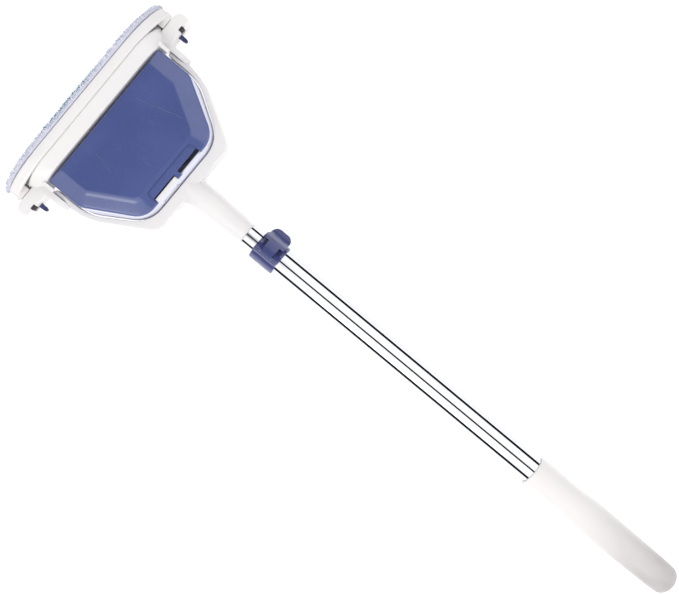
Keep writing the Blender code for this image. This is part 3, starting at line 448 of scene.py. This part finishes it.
class PaintBox:
    """Makes each finish once and puts it on pieces."""

    def __init__(self) -> None:
        """Start with no materials made."""
        self.made: dict[Finish, bpy.types.Material] = {}

    def dress(self, piece: bpy.types.Object, finish: Finish) -> bpy.types.Object:
        """Give a piece one finish over its whole surface.

        Args:
            piece: The object to dress.
            finish: Its finish.

        Returns:
            The same object.
        """
        if finish not in self.made:
            self.made[finish] = finish.value[1].make()
        piece.data.materials.clear()
        piece.data.materials.append(self.made[finish])
        return piece


# ------------------------------------------------------------------ workbench

class Bench:
    """Turns bmeshes into finished pieces that ride on the frame."""

    def __init__(self, frame: dict[str, Any]) -> None:
        """Keep the frame and its nodes.
        """
        self.nodes = frame["nodes"]
        self.bodies = {node: body for body, members in
                       frame["record"]["behaviour"]["bodies"].items() for node in members}
        self.paint = PaintBox()

    def piece(self, name: str, shape: bmesh.types.BMesh, finish: Finish, body: str,
              stands_for: Sequence[str] = ()) -> bpy.types.Object:
        """Make a finished piece of a bmesh.

        Args:
            name: The piece's name.
            shape: Its bmesh, which is freed.
            finish: Its finish.
            body: The CAD body that it rides on.
            stands_for: The CAD nodes that it replaces.

        Returns:
            The new object.
        """
        bmesh.ops.recalc_face_normals(shape, faces=shape.faces)
        mesh = bpy.data.meshes.new(name)
        shape.to_mesh(mesh)
        shape.free()
        item = bpy.data.objects.new(name, mesh)
        bpy.context.scene.collection.objects.link(item)
        return self.mount(item, finish, body, stands_for)

    def mount(self, item: bpy.types.Object, finish: Finish, body: str,
              stands_for: Sequence[str] = ()) -> bpy.types.Object:
        """Dress an object and put it on its body.

        Args:
            item: The object.
            finish: Its finish.
            body: The CAD body that it rides on.
            stands_for: The CAD nodes that it replaces.

        Returns:
            The same object.
        """
        self.paint.dress(item, finish)
        item.data.shade_smooth()
        item.data.set_sharp_from_angle(angle=SMOOTH_ANGLE)
        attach(item, body)
        if stands_for:
            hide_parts(*stands_for)
        LOG.info("%s: %d faces on %s", item.name, len(item.data.polygons), body)
        return item

    def softened(self, node: str, finish: Finish, width: float = 0.0004,
                 angle: float = 38.0) -> bpy.types.Object:
        """Replace a CAD node with a merged copy whose sharp edges are rounded.

        Args:
            node: The CAD node's name.
            finish: The copy's finish.
            width: The rounding's width.
            angle: The least angle in degrees of an edge that is rounded.

        Returns:
            The copy.
        """
        shape = bmesh.new()
        shape.from_mesh(self.nodes[node].data)
        bmesh.ops.remove_doubles(shape, verts=shape.verts, dist=0.000002)
        bmesh.ops.dissolve_limit(shape, angle_limit=math.radians(0.6), verts=shape.verts,
                                 edges=shape.edges)
        sharp = [edge for edge in shape.edges
                 if edge.is_manifold and edge.calc_face_angle(0.0) > math.radians(angle)
                 and edge.calc_length() > width]
        bmesh.ops.bevel(shape, geom=sharp, offset=width, offset_type="OFFSET", segments=2,
                        profile=0.5, affect="EDGES", clamp_overlap=True, material=-1)
        item = self.piece(node + "_moulding", shape, finish, self.bodies[node], (node,))
        self.even(item)
        return item

    @staticmethod
    def even(item: bpy.types.Object) -> None:
        """Shade a piece's large faces flat and its roundings smooth."""
        smooth = item.modifiers.new("even_shading", "WEIGHTED_NORMAL")
        smooth.keep_sharp = True

    def keep(self, node: str, finish: Finish) -> None:
        """Leave a CAD node in place with a better finish.

        Args:
            node: The CAD node's name.
            finish: Its finish.
        """
        self.paint.dress(self.nodes[node], finish)
        LOG.info("%s: kept, %s", node, finish.slot)

    @staticmethod
    def turned(profile: Sequence[tuple[float, float]], steps: int = 96) -> bmesh.types.BMesh:
        """Spin a profile about the pole's axis.

        Args:
            profile: (radius, y) points; a ring's profile is closed.
            steps: The number of facets round.

        Returns:
            The turned body.
        """
        shape = bmesh.new()
        verts = [shape.verts.new((radius, y, AXIS_Z)) for radius, y in profile]
        edges = [shape.edges.new(pair) for pair in zip(verts, verts[1:])]
        if profile[0][0] > 0.0:
            edges.append(shape.edges.new((verts[-1], verts[0])))
        bmesh.ops.spin(shape, geom=verts + edges, cent=(0, 0, AXIS_Z), axis=(0, 1, 0),
                       angle=2 * math.pi, steps=steps, use_merge=True)
        bmesh.ops.remove_doubles(shape, verts=shape.verts, dist=0.000005)
        return shape

    @staticmethod
    def stacked(loops: Sequence[Sequence[Vector]]) -> bmesh.types.BMesh:
        """Extrude a closed loop through others of equal length, and close both ends.

        Args:
            loops: The loops, in order.

        Returns:
            The closed body.
        """
        shape = bmesh.new()
        verts = [shape.verts.new(point) for point in loops[0]]
        edges = [shape.edges.new(pair) for pair in zip(verts, verts[1:] + verts[:1])]
        first = list(edges)
        for loop in loops[1:]:
            grown = bmesh.ops.extrude_edge_only(shape, edges=edges)["geom"]
            fresh = {tuple(v.co): v for v in grown if isinstance(v, bmesh.types.BMVert)}
            verts = [fresh[tuple(vert.co)] for vert in verts]
            ring = set(verts)
            edges = [e for e in grown if isinstance(e, bmesh.types.BMEdge)
                     and ring.issuperset(e.verts)]
            for vert, point in zip(verts, loop):
                vert.co = point
        for ends in (first, edges):
            bmesh.ops.edgeloop_fill(shape, edges=ends)
        return shape

    @staticmethod
    def block(low: Sequence[float], high: Sequence[float]) -> bmesh.types.BMesh:
        """Give a box between two corners."""
        shape = bmesh.new()
        bmesh.ops.create_cube(shape, size=1.0)
        size = [high[k] - low[k] for k in range(3)]
        bmesh.ops.scale(shape, vec=size, verts=shape.verts)
        bmesh.ops.translate(shape, vec=[(high[k] + low[k]) / 2 for k in range(3)],
                            verts=shape.verts)
        return shape

    @staticmethod
    def carve(item: bpy.types.Object, tools: Iterable[tuple[bmesh.types.BMesh, str]]) -> None:
        """Cut shapes from a piece or add them to it, and keep the result as its mesh.

        Args:
            item: The piece.
            tools: Shapes with DIFFERENCE or UNION, applied in order.
        """
        helpers = []
        for shape, operation in tools:
            mesh = bpy.data.meshes.new("tool")
            bmesh.ops.recalc_face_normals(shape, faces=shape.faces)
            shape.to_mesh(mesh)
            shape.free()
            helper = bpy.data.objects.new("tool", mesh)
            bpy.context.scene.collection.objects.link(helper)
            step = item.modifiers.new(operation.lower(), "BOOLEAN")
            step.operation = operation
            step.object = helper
            step.solver = "EXACT"
            helpers.append(helper)
        graph = bpy.context.evaluated_depsgraph_get()
        result = bpy.data.meshes.new_from_object(item.evaluated_get(graph))
        item.modifiers.clear()
        item.data = result
        for helper in helpers:
            bpy.data.objects.remove(helper, do_unlink=True)


def rounded(corners: Sequence[tuple[float, float, float]], steps: int = 12) -> list[Vector]:
    """Round the corners of a flat outline.

    Args:
        corners: (x, y, radius) corners in order.
        steps: The facets in each arc.

    Returns:
        The outline's points.
    """
    outline: list[Vector] = []
    for k, (x, y, radius) in enumerate(corners):
        here = Vector((x, y))
        back = (Vector(corners[k - 1][:2]) - here).normalized()
        ahead = (Vector(corners[(k + 1) % len(corners)][:2]) - here).normalized()
        half = back.angle(ahead) / 2
        centre = here + (back + ahead).normalized() * (radius / math.sin(half))
        first = here + back * (radius / math.tan(half)) - centre
        last = here + ahead * (radius / math.tan(half)) - centre
        turn = last.angle_signed(first)
        for step in range(steps + 1):
            outline.append(centre + Matrix.Rotation(turn * step / steps, 2) @ first)
    return outline


def eased(points: Sequence[tuple[float, float]], steps: int) -> list[tuple[float, float]]:
    """Draw a smooth line through (radius, y) points that are evenly enough spaced.

    Args:
        points: The points, in order.
        steps: New points in each span.

    Returns:
        The smooth profile.
    """
    path: list[tuple[float, float]] = []
    knots = [points[0], *points, points[-1]]
    for a, b, c, d in zip(knots, knots[1:], knots[2:], knots[3:]):
        for step in range(steps):
            t = step / steps
            path.append(tuple(
                0.5 * (2 * b[k] + (c[k] - a[k]) * t + (2 * a[k] - 5 * b[k] + 4 * c[k] - d[k]) * t ** 2
                       + (3 * b[k] - a[k] - 3 * c[k] + d[k]) * t ** 3) for k in (0, 1)))
    return [*path, points[-1]]


# ------------------------------------------------------------------ pole and grip

@dataclass
class Pole:
    """The two tubes, the grip and the parts inside them."""

    bench: Bench
    wall: float = 0.0008
    lip: float = 0.00025
    grip_bore: float = 0.0128
    grip_floor: float = 0.008
    mouth_inset: float = 0.0008
    neck_radius: float = 0.0143
    dome_radius: float = 0.0138
    dome_length: float = 0.0105
    dome_steps: int = 12

    def tube(self, node: str) -> None:
        """Turn a smooth tube with rounded lips in a CAD tube's place.

        Args:
            node: The CAD tube.
        """
        low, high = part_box(node)
        outer = (high.x - low.x) / 2
        inner = outer - self.wall
        shape = self.bench.turned([
            (outer - self.lip, high.y), (outer, high.y - self.lip), (outer, low.y + self.lip),
            (outer - self.lip, low.y), (inner + self.lip, low.y), (inner, low.y + self.lip),
            (inner, high.y - self.lip), (inner + self.lip, high.y),
        ])
        self.bench.piece(node + "_polished", shape, Finish.TUBE, self.bench.bodies[node], (node,))

    def grip(self) -> None:
        """Turn the grip: a slight waist, a belly and a domed end."""
        low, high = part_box("grip")
        belly = (high.x - low.x) / 2
        mouth = belly - self.mouth_inset
        y = high.y
        tip = low.y
        end = tip + self.dome_length
        run = eased([
            (mouth, y - 0.0010), (mouth + 0.0002, y - 0.020), (mouth - 0.0004, y - 0.044),
            (belly - 0.0001, y - 0.060), (belly, y - 0.074), (mouth + 0.0002, y - 0.108),
            (self.neck_radius, tip + 0.020), (self.dome_radius, end),
        ], 8)
        angles = [math.pi / 2 * k / self.dome_steps for k in range(1, self.dome_steps + 1)]
        dome = [(self.dome_radius * math.cos(a), end - self.dome_length * math.sin(a))
                for a in angles]
        dome[-1] = (0.0, tip)
        floor = tip + self.grip_floor
        profile = [(0.0, floor), (self.grip_bore, floor), (self.grip_bore, y),
                   (mouth - self.mouth_inset, y),
                   (mouth - 0.0002, y - 0.0003), *run, *dome]
        self.bench.piece("grip_moulding", self.bench.turned(profile), Finish.GRIP, "handle",
                         ("grip",))

    def build(self) -> None:
        """Make the pole."""
        for node in ("outer_tube", "inner_tube"):
            self.tube(node)
        self.grip()
        for node in ("tube_plug", "clamp_liner", "guide_ring", "tail_plug"):
            self.bench.keep(node, Finish.NYLON)


@dataclass
class Clamp:
    """The collar and its flip lever."""

    bench: Bench

    def build(self) -> None:
        """Make the clamp."""
        self.bench.softened("clamp_collar", Finish.CLAMP, 0.0004)
        self.bench.softened("clamp_lever", Finish.CLAMP, 0.0006, 30.0)
        self.bench.keep("lever_pin", Finish.PLATED)


# ------------------------------------------------------------------ fork and head

@dataclass
class Fork:
    """The neck, its fork and their fasteners."""

    bench: Bench

    def build(self) -> None:
        """Make the fork."""
        for node in ("fork_upper", "fork_lower"):
            self.bench.softened(node, Finish.WHITE, 0.0003, 45.0)
        for node in ("fork_screw_1", "fork_screw_2", "fork_screw_3", "fork_screw_4",
                     "pivot_pin_left", "pivot_pin_right", "neck_rivet"):
            self.bench.keep(node, Finish.PLATED)


@dataclass
class Head:
    """Rail, tray, carrier plate, latches and fasteners."""

    bench: Bench
    slot_x: tuple[float, float] = (0.1014, 0.1062)
    slot_y: tuple[float, float] = (0.00992, 0.0126)
    slot_z: tuple[float, float] = (0.0026, 0.01128)

    def build(self) -> None:
        """Make the head's mouldings."""
        self.bench.softened("rail_housing", Finish.WHITE, 0.0005)
        # The tray's lavender finish is painted shade and a painted reflection of the lid.
        self.bench.softened("tray", Finish.TRAY, 0.0003)
        self.bench.softened("carrier_plate", Finish.WHITE, 0.0003)
        self.bench.softened("lid_catch", Finish.WHITE, 0.0003)
        for side in ("left", "right"):
            self.bench.softened("latch_" + side, Finish.DARK, 0.0003)
            self.bench.keep("lid_pin_" + side, Finish.PLATED)
            self.bench.keep("latch_spring_" + side, Finish.PLATED)
        self.bench.keep("catch_spring", Finish.PLATED)
        for k in range(1, 5):
            self.bench.keep("tray_screw_%d" % k, Finish.PLATED)
        for side in ("top", "bottom"):
            self.bench.keep("hook_strip_" + side, Finish.TAPE)
        # Black blocks as painted shadow in the latch slots.
        for side, tag in ((1, "right"), (-1, "left")):
            self.slot_shadow(side, tag)

    def slot_shadow(self, side: int, tag: str) -> None:
        """Put a black block at the lug's rear edge, in the room that a latch slides in, as a painted
        shadow where that room lies in shade.

        Args:
            side: 1 for the right, -1 for the left.
            tag: The side's name.
        """
        x = sorted((side * self.slot_x[0], side * self.slot_x[1]))
        low = (x[0], TILT_Y + self.slot_y[0], AXIS_Z + self.slot_z[0])
        high = (x[1], TILT_Y + self.slot_y[1], AXIS_Z + self.slot_z[1])
        shape = self.bench.block(low, high)
        # The block wears the hook tape's black as a painted shadow.
        self.bench.piece("latch_slot_painted_shadow_" + tag, shape, Finish.TAPE, "head")


@dataclass
class Lid:
    """The blue lid: broad chamfers, a finger scoop, two slots and faint raised lines."""

    bench: Bench
    half_width: float = 0.0767
    front: float = 0.0133
    side_y: float = -0.0224
    rear: float = -0.0737
    rear_x: float = 0.0469
    wall: float = 0.0020
    skirt: float = 0.0143
    edge: float = 0.0188
    crown: float = 0.0236
    chamfer: float = 0.0125
    pin_y: float = 0.0070
    pin_z: float = 0.0170
    scoop_floor: float = 0.0182
    slot_depth: float = 0.0050
    finger_slot: tuple[float, float] = (0.0040, 0.0300)
    catch_slot: tuple[float, float] = (-0.0290, -0.0010)
    boss_x: tuple[float, float] = (0.0690, 0.0761)
    right_line: tuple[tuple[float, float], ...] = ((0.0295, 0.0), (0.0432, -0.0441))
    left_line: tuple[tuple[float, float], ...] = ((-0.0300, -0.0051), (-0.0349, -0.0275))
    line_width: float = 0.00050
    line_rise: float = 0.00045

    def outline(self, inset: float, z: float, front: float) -> list[Vector]:
        """Give the lid's outline at a level.

        Args:
            inset: How far its sides are moved inwards.
            z: The level over the pole's axis.
            front: How far its front edge is moved back.

        Returns:
            The loop, in the CAD's frame.
        """
        slant = math.atan2(self.half_width - self.rear_x, self.side_y - self.rear)
        shift = inset / math.cos(slant)
        side_x = self.half_width - inset
        side_y = self.side_y + (shift - inset) / math.tan(slant)
        rear_x = self.rear_x - shift + inset * math.tan(slant)
        right = [
            (side_x, self.front - front, 0.0015),
            (side_x, side_y, max(0.0120 - inset * 0.4, 0.003)),
            (rear_x, self.rear + inset, max(0.0210 - inset, 0.007)),
        ]
        corners = right + [(-x, y, r) for x, y, r in reversed(right)]
        return [Vector((p.x, TILT_Y + p.y, AXIS_Z + z)) for p in rounded(corners)]

    def shell(self) -> bmesh.types.BMesh:
        """Stack the lid's closed shell, from its inner roof over the skirt to its crown."""
        inner = self.chamfer + 0.001
        levels = [
            (inner, self.crown - self.wall, self.wall + 0.0024),
            (self.wall + 0.002, self.edge - 0.0010, self.wall + 0.0010),
            (self.wall, self.skirt, self.wall),
            (0.0, self.skirt, 0.0),
            (0.0, self.edge - 0.0026, 0.0),
            (0.0003, self.edge - 0.0014, 0.0001),
            (0.0010, self.edge - 0.0004, 0.0002),
            (0.0022, self.edge + 0.0002, 0.0003),
            (0.0060, self.edge + 0.0014, 0.0008),
            (0.0105, self.edge + 0.0029, 0.0015),
            (0.0122, self.edge + 0.0034, 0.0020),
            (0.0140, self.crown - 0.0002, 0.0030),
            (0.0165, self.crown, 0.0045),
        ]
        return self.bench.stacked([self.outline(*level) for level in levels])

    def local(self, x: float, y: float, z: float) -> tuple[float, float, float]:
        """Turn a place by the tilt axis into one in the CAD's frame."""
        return (x, TILT_Y + y, AXIS_Z + z)

    def scoop(self) -> bmesh.types.BMesh:
        """Give the shallow slanted recess in front of the slots, as a cutter."""
        shape = self.bench.block((-0.030, -0.010, 0.0), (0.030, 0.0075, 0.010))
        upright = [e for e in shape.edges
                   if abs(e.verts[0].co.z - e.verts[1].co.z) > 0.005 and e.verts[0].co.y > 0]
        bmesh.ops.bevel(shape, geom=upright, offset=0.004, offset_type="OFFSET", segments=6,
                        profile=0.5, affect="EDGES", clamp_overlap=True, material=-1)
        lean = Matrix.Rotation(math.radians(14.0), 4, "X")
        spot = Matrix.Translation(self.local(0.0, self.rear + 0.0055, self.scoop_floor + 0.0008))
        bmesh.ops.transform(shape, matrix=spot @ lean, verts=shape.verts)
        return shape

    def line(self, start: tuple[float, float], end: tuple[float, float]) -> bmesh.types.BMesh:
        """Give a low raised line on the crown.

        Args:
            start: (x, y) by the tilt axis.
            end: (x, y) by the tilt axis.

        Returns:
            The line as a slim half-round bar.
        """
        run = Vector(end) - Vector(start)
        shape = bmesh.new()
        bmesh.ops.create_cone(shape, cap_ends=True, segments=12, radius1=self.line_width,
                              radius2=self.line_width, depth=run.length)
        bmesh.ops.rotate(shape, matrix=Matrix.Rotation(math.pi / 2, 3, "X"), verts=shape.verts)
        bmesh.ops.scale(shape, vec=(1.0, 1.0, self.line_rise / self.line_width),
                        verts=shape.verts)
        turn = Matrix.Rotation(math.atan2(-run.x, run.y), 4, "Z")
        middle = (Vector(start) + Vector(end)) / 2
        spot = Matrix.Translation(self.local(middle.x, middle.y, self.crown))
        bmesh.ops.transform(shape, matrix=spot @ turn, verts=shape.verts)
        return shape

    def build(self) -> None:
        """Make the lid."""
        item = self.bench.piece("lid_moulding", self.shell(), Finish.BLUE, "lid", ("lid",))
        slot_end = self.rear + self.slot_depth
        cuts = [
            ((-0.082, self.pin_y + 0.0022, self.skirt - 0.002), (0.082, 0.016, self.pin_z)),
            *[((near, self.rear - 0.004, self.skirt - 0.001), (far, slot_end, 0.030))
              for near, far in (self.finger_slot, self.catch_slot)],
        ]
        floor = self.bench.block(
            self.local(-0.0315, slot_end, self.scoop_floor),
            self.local(0.0315, self.rear + 0.0135, self.scoop_floor + 0.0022))
        tools = [(floor, "UNION"), (self.scoop(), "DIFFERENCE")]
        tools += [(self.bench.block(self.local(*low), self.local(*high)), "DIFFERENCE")
                  for low, high in cuts]
        tools += [(self.line(*ends), "UNION") for ends in (self.right_line, self.left_line)]
        for side in (1, -1):
            boss = sorted(side * x for x in self.boss_x)
            tools.append((self.bench.block(
                self.local(boss[0], self.pin_y - 0.0030, self.pin_z - 0.0024),
                self.local(boss[1], self.pin_y + 0.0026, self.edge - 0.0003)), "UNION"))
        self.bench.carve(item, tools)
        self.bench.paint.dress(item, Finish.BLUE)
        item.data.shade_smooth()
        item.data.set_sharp_from_angle(angle=SMOOTH_ANGLE)
        self.bench.even(item)


# ------------------------------------------------------------------ scrub pad

@dataclass
class ScrubPad:
    """The pile pad: a swollen core with short looped tufts on its face and edges."""

    bench: Bench
    width: float = 0.2180
    height: float = 0.0600
    end: float = 0.0468
    back: float = 0.3413
    front: float = 0.3452
    voxel: float = 0.0022
    pressure: float = 4.0
    swell: float = 0.0010
    back_swell: float = 0.0001
    frames: int = 20
    tuft_length: tuple[float, float] = (0.0020, 0.0030)
    tuft_radius: tuple[float, float] = (0.0008, 0.0011)
    lean: float = 0.45
    seed: int = 7
    end_steps: int = 16

    def loop(self, width: float, height: float, end: float, y: float) -> list[Vector]:
        """Give a level bar with elliptical ends across the pole.

        Args:
            width: Its length across the head.
            height: Its height.
            end: The length of each rounded end.
            y: Its place along the pole.

        Returns:
            The loop's points.
        """
        points = []
        for side in (1, -1):
            for step in range(self.end_steps + 1):
                angle = math.pi * (step / self.end_steps - 0.5)
                points.append(Vector((
                    side * (width / 2 - end + end * math.cos(angle)), y,
                    AXIS_Z + side * height / 2 * math.sin(angle))))
        return points

    def blank(self) -> bpy.types.Object:
        """Make the pad's core before it swells."""
        grow = ((0.004, self.back), (0.001, self.back + 0.0008), (0.001, self.front - 0.0014),
                (0.005, self.front))
        shape = self.bench.stacked([
            self.loop(self.width - cut, self.height - cut, self.end - cut / 2, y)
            for cut, y in grow])
        bmesh.ops.triangulate(shape, faces=shape.faces)
        item = self.bench.piece("scrub_pad_core", shape, Finish.PILE, "head", ("scrub_pad",))
        remesh = item.modifiers.new("even_mesh", "REMESH")
        remesh.mode = "VOXEL"
        remesh.voxel_size = self.voxel
        graph = bpy.context.evaluated_depsgraph_get()
        even = bpy.data.meshes.new_from_object(item.evaluated_get(graph))
        item.modifiers.clear()
        item.data = even
        return item

    def swell_core(self, item: bpy.types.Object) -> None:
        """Blow the core up a little with a cloth simulation, and keep its back flat.

        Args:
            item: The core.
        """
        cloth = item.modifiers.new("cloth", "CLOTH")
        cloth.settings.use_pressure = True
        cloth.settings.uniform_pressure_force = self.pressure
        cloth.settings.effector_weights.gravity = 0.0
        cloth.point_cache.frame_start = 1
        cloth.point_cache.frame_end = self.frames
        scene = bpy.context.scene
        for number in range(1, self.frames + 1):
            scene.frame_set(number)
        graph = bpy.context.evaluated_depsgraph_get()
        swollen = item.evaluated_get(graph).data
        moved = [vert.co.copy() for vert in swollen.vertices]
        item.modifiers.clear()
        scene.frame_set(1)
        for vert, target in zip(item.data.vertices, moved):
            move = target - vert.co
            most = self.back_swell if vert.co.y < self.back + 0.0010 else self.swell
            vert.co += move * min(1.0, most / max(move.length, 1e-9))

    def tuft(self) -> tuple[np.ndarray, np.ndarray]:
        """Make one tuft of unit length and radius along +Z.

        Returns:
            Its points and its triangles.
        """
        shape = bmesh.new()
        bmesh.ops.create_cone(shape, cap_ends=True, cap_tris=True, segments=6, radius1=0.75,
                              radius2=1.0, depth=0.8)
        bmesh.ops.translate(shape, vec=(0, 0, 0.2), verts=shape.verts)
        top = [face for face in shape.faces if face.normal.z > 0.9]
        ring = bmesh.ops.extrude_face_region(shape, geom=top)["geom"]
        raised = [item for item in ring if isinstance(item, bmesh.types.BMVert)]
        bmesh.ops.translate(shape, vec=(0, 0, 0.3), verts=raised)
        bmesh.ops.scale(shape, vec=(0.55, 0.55, 1.0), verts=raised)
        bmesh.ops.delete(shape, geom=top, context="FACES_ONLY")
        bmesh.ops.triangulate(shape, faces=shape.faces)
        bmesh.ops.recalc_face_normals(shape, faces=shape.faces)
        shape.verts.ensure_lookup_table()
        points = np.array([vert.co[:] for vert in shape.verts])
        faces = np.array([[vert.index for vert in face.verts] for face in shape.faces])
        shape.free()
        return points, faces

    def pile(self, core: bpy.types.Object) -> None:
        """Set a tuft on each face of the core, except on its back.

        Args:
            core: The finished core.
        """
        chance = random.Random(self.seed)
        points, faces = self.tuft()
        spots = [(face.center.copy(), face.normal.copy()) for face in core.data.polygons
                 if face.normal.y > -0.5 and face.center.y > self.back + 0.0004]
        all_points, all_faces, shades = [], [], []
        for k, (centre, normal) in enumerate(spots):
            sway = Vector([chance.uniform(-1, 1) for _ in range(3)]) * self.lean
            along = (normal + sway).normalized()
            length = chance.uniform(*self.tuft_length)
            radius = chance.uniform(*self.tuft_radius)
            turn = along.to_track_quat("Z", "Y").to_matrix().to_4x4()
            placed = (Matrix.Translation(centre - normal * 0.0003) @ turn
                      @ Matrix.Rotation(chance.uniform(0, math.tau), 4, "Z")
                      @ Matrix.Diagonal((radius, radius, length, 1.0)))
            grid = np.array(placed)
            all_points.append(points @ grid[:3, :3].T + grid[:3, 3])
            all_faces.append(faces + k * len(points))
            shades.append(np.full(len(points), chance.random()))
        mesh = bpy.data.meshes.new("scrub_pad_pile")
        mesh.from_pydata(np.concatenate(all_points).tolist(), [],
                         np.concatenate(all_faces).tolist())
        shade = mesh.attributes.new("tuft_shade", "FLOAT", "POINT")
        shade.data.foreach_set("value", np.concatenate(shades).astype(np.float32))
        item = bpy.data.objects.new("scrub_pad_pile", mesh)
        bpy.context.scene.collection.objects.link(item)
        self.bench.mount(item, Finish.PILE, "head")

    def build(self) -> None:
        """Make the pad."""
        core = self.blank()
        self.swell_core(core)
        self.bench.paint.dress(core, Finish.PILE)
        core.data.shade_smooth()
        self.pile(core)


# ------------------------------------------------------------------ studio

@dataclass
class Studio:
    """Pale floor, soft light and the camera."""

    camera_spot: tuple[float, float, float] = (0.0094, 0.0511, 1.010)
    camera_turn: float = math.radians(39.65)
    lens: float = 57.2
    floor_half: float = 4.0
    floor_drop: float = 0.0005
    sensor: float = 36.0
    lamp_spot: tuple[float, float, float] = (-0.9, -0.1, 0.8)
    lamp_aim: tuple[float, float, float] = (0.0, 0.24, 0.03)
    lamp_size: float = 0.5
    lamp_power: float = 2.5
    world_strength: float = 1.34
    light: Colour = (1.0, 1.0, 1.0)
    dark: Colour = (0.004, 0.004, 0.010)
    horizon: tuple[float, float] = (0.32, 0.44)
    ends: tuple[float, float] = (0.35, 0.60)
    seam: tuple[float, float] = (0.100, 0.130)
    card_x: tuple[float, float] = (0.26, 0.44)
    card_y: float = 0.36
    card_reach: tuple[float, float] = (0.20, 0.34)
    card_share: float = 0.85

    def floor(self) -> None:
        """Lay the floor."""
        shape = bmesh.new()
        bmesh.ops.create_grid(shape, x_segments=1, y_segments=1, size=self.floor_half)
        mesh = bpy.data.meshes.new("floor")
        shape.to_mesh(mesh)
        shape.free()
        item = bpy.data.objects.new("floor", mesh)
        item.location.z = -self.floor_drop
        bpy.context.scene.collection.objects.link(item)
        graph = Graph("pale_floor")
        item.data.materials.append(graph.finish(
            Base_Color=graph.blend(graph.noise(0.4, 2.0), (0.93, 0.93, 0.935), (0.95, 0.95, 0.95)),
            Roughness=0.95, Specular_IOR_Level=0.1, Emission_Color=(1.0, 1.0, 1.0),
            Emission_Strength=0.30))

    def sky(self) -> None:
        """Light everything from a white dome with a dark horizon, seam and overhead card."""
        graph = Graph("soft_dome", world=True)
        place = graph.node("ShaderNodeTexCoord", {}, {}, "Generated")
        east, north, up = (graph.node("ShaderNodeSeparateXYZ", {}, {"Vector": place}, letter)
                           for letter in "XYZ")
        seam = abs(east).fade(*self.seam)
        card = (1.0 - abs(east).fade(*self.card_x)) * (1.0 - abs(north - self.card_y).fade(
            *self.card_reach))
        ends = abs(north).fade(*self.ends) * up.fade(0.0, 0.05)
        high = up.fade(*self.horizon)
        above = high + ends - high * ends
        seen = graph.node("ShaderNodeLightPath", {}, {}, "Is Camera Ray")
        light = above * seam * (1.0 - card * self.card_share)
        light = light + seen - light * seen
        graph.feed(graph.shader.inputs["Color"], graph.blend(light, self.dark, self.light))
        graph.feed(graph.shader.inputs["Strength"], self.world_strength)
        bpy.context.scene.world = graph.owner

    def lamp(self, name: str, spot: tuple[float, float, float], aim: tuple[float, float, float],
             size: float, power: float) -> None:
        """Hang a soft square lamp.

        Args:
            name: The lamp's name.
            spot: Its place.
            aim: The point that it faces.
            size: Its side length.
            power: Its power in watts.
        """
        data = bpy.data.lights.new(name, "AREA")
        data.size = size
        data.energy = power
        item = bpy.data.objects.new(name, data)
        item.location = spot
        item.rotation_mode = "QUATERNION"
        item.rotation_quaternion = (Vector(aim) - Vector(spot)).to_track_quat("-Z", "Y")
        bpy.context.scene.collection.objects.link(item)

    def camera(self) -> None:
        """Hang the camera over the brush, looking straight down."""
        data = bpy.data.cameras.new("camera")
        data.lens = self.lens
        data.sensor_width = self.sensor
        item = bpy.data.objects.new("camera", data)
        bpy.context.scene.collection.objects.link(item)
        sine, cosine = math.sin(self.camera_turn), math.cos(self.camera_turn)
        turn = Matrix(((sine, cosine, 0.0), (-cosine, sine, 0.0), (0.0, 0.0, 1.0)))
        item.matrix_world = Matrix.Translation(self.camera_spot) @ turn.to_4x4()
        bpy.context.scene.camera = item

    def build(self) -> None:
        """Make the studio."""
        self.floor()
        self.sky()
        self.lamp("side_light", self.lamp_spot, self.lamp_aim, self.lamp_size, self.lamp_power)
        self.camera()
        bpy.context.scene.view_settings.view_transform = "Standard"


def main() -> None:
    """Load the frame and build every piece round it."""
    logging.basicConfig(level=logging.INFO, format="%(message)s")
    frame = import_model()
    Studio().build()
    bench = Bench(frame)
    for maker in (Pole, Clamp, Fork, Head, Lid, ScrubPad):
        maker(bench).build()
        LOG.info("%s done", maker.__name__)


if __name__ == "__main__":
    main()
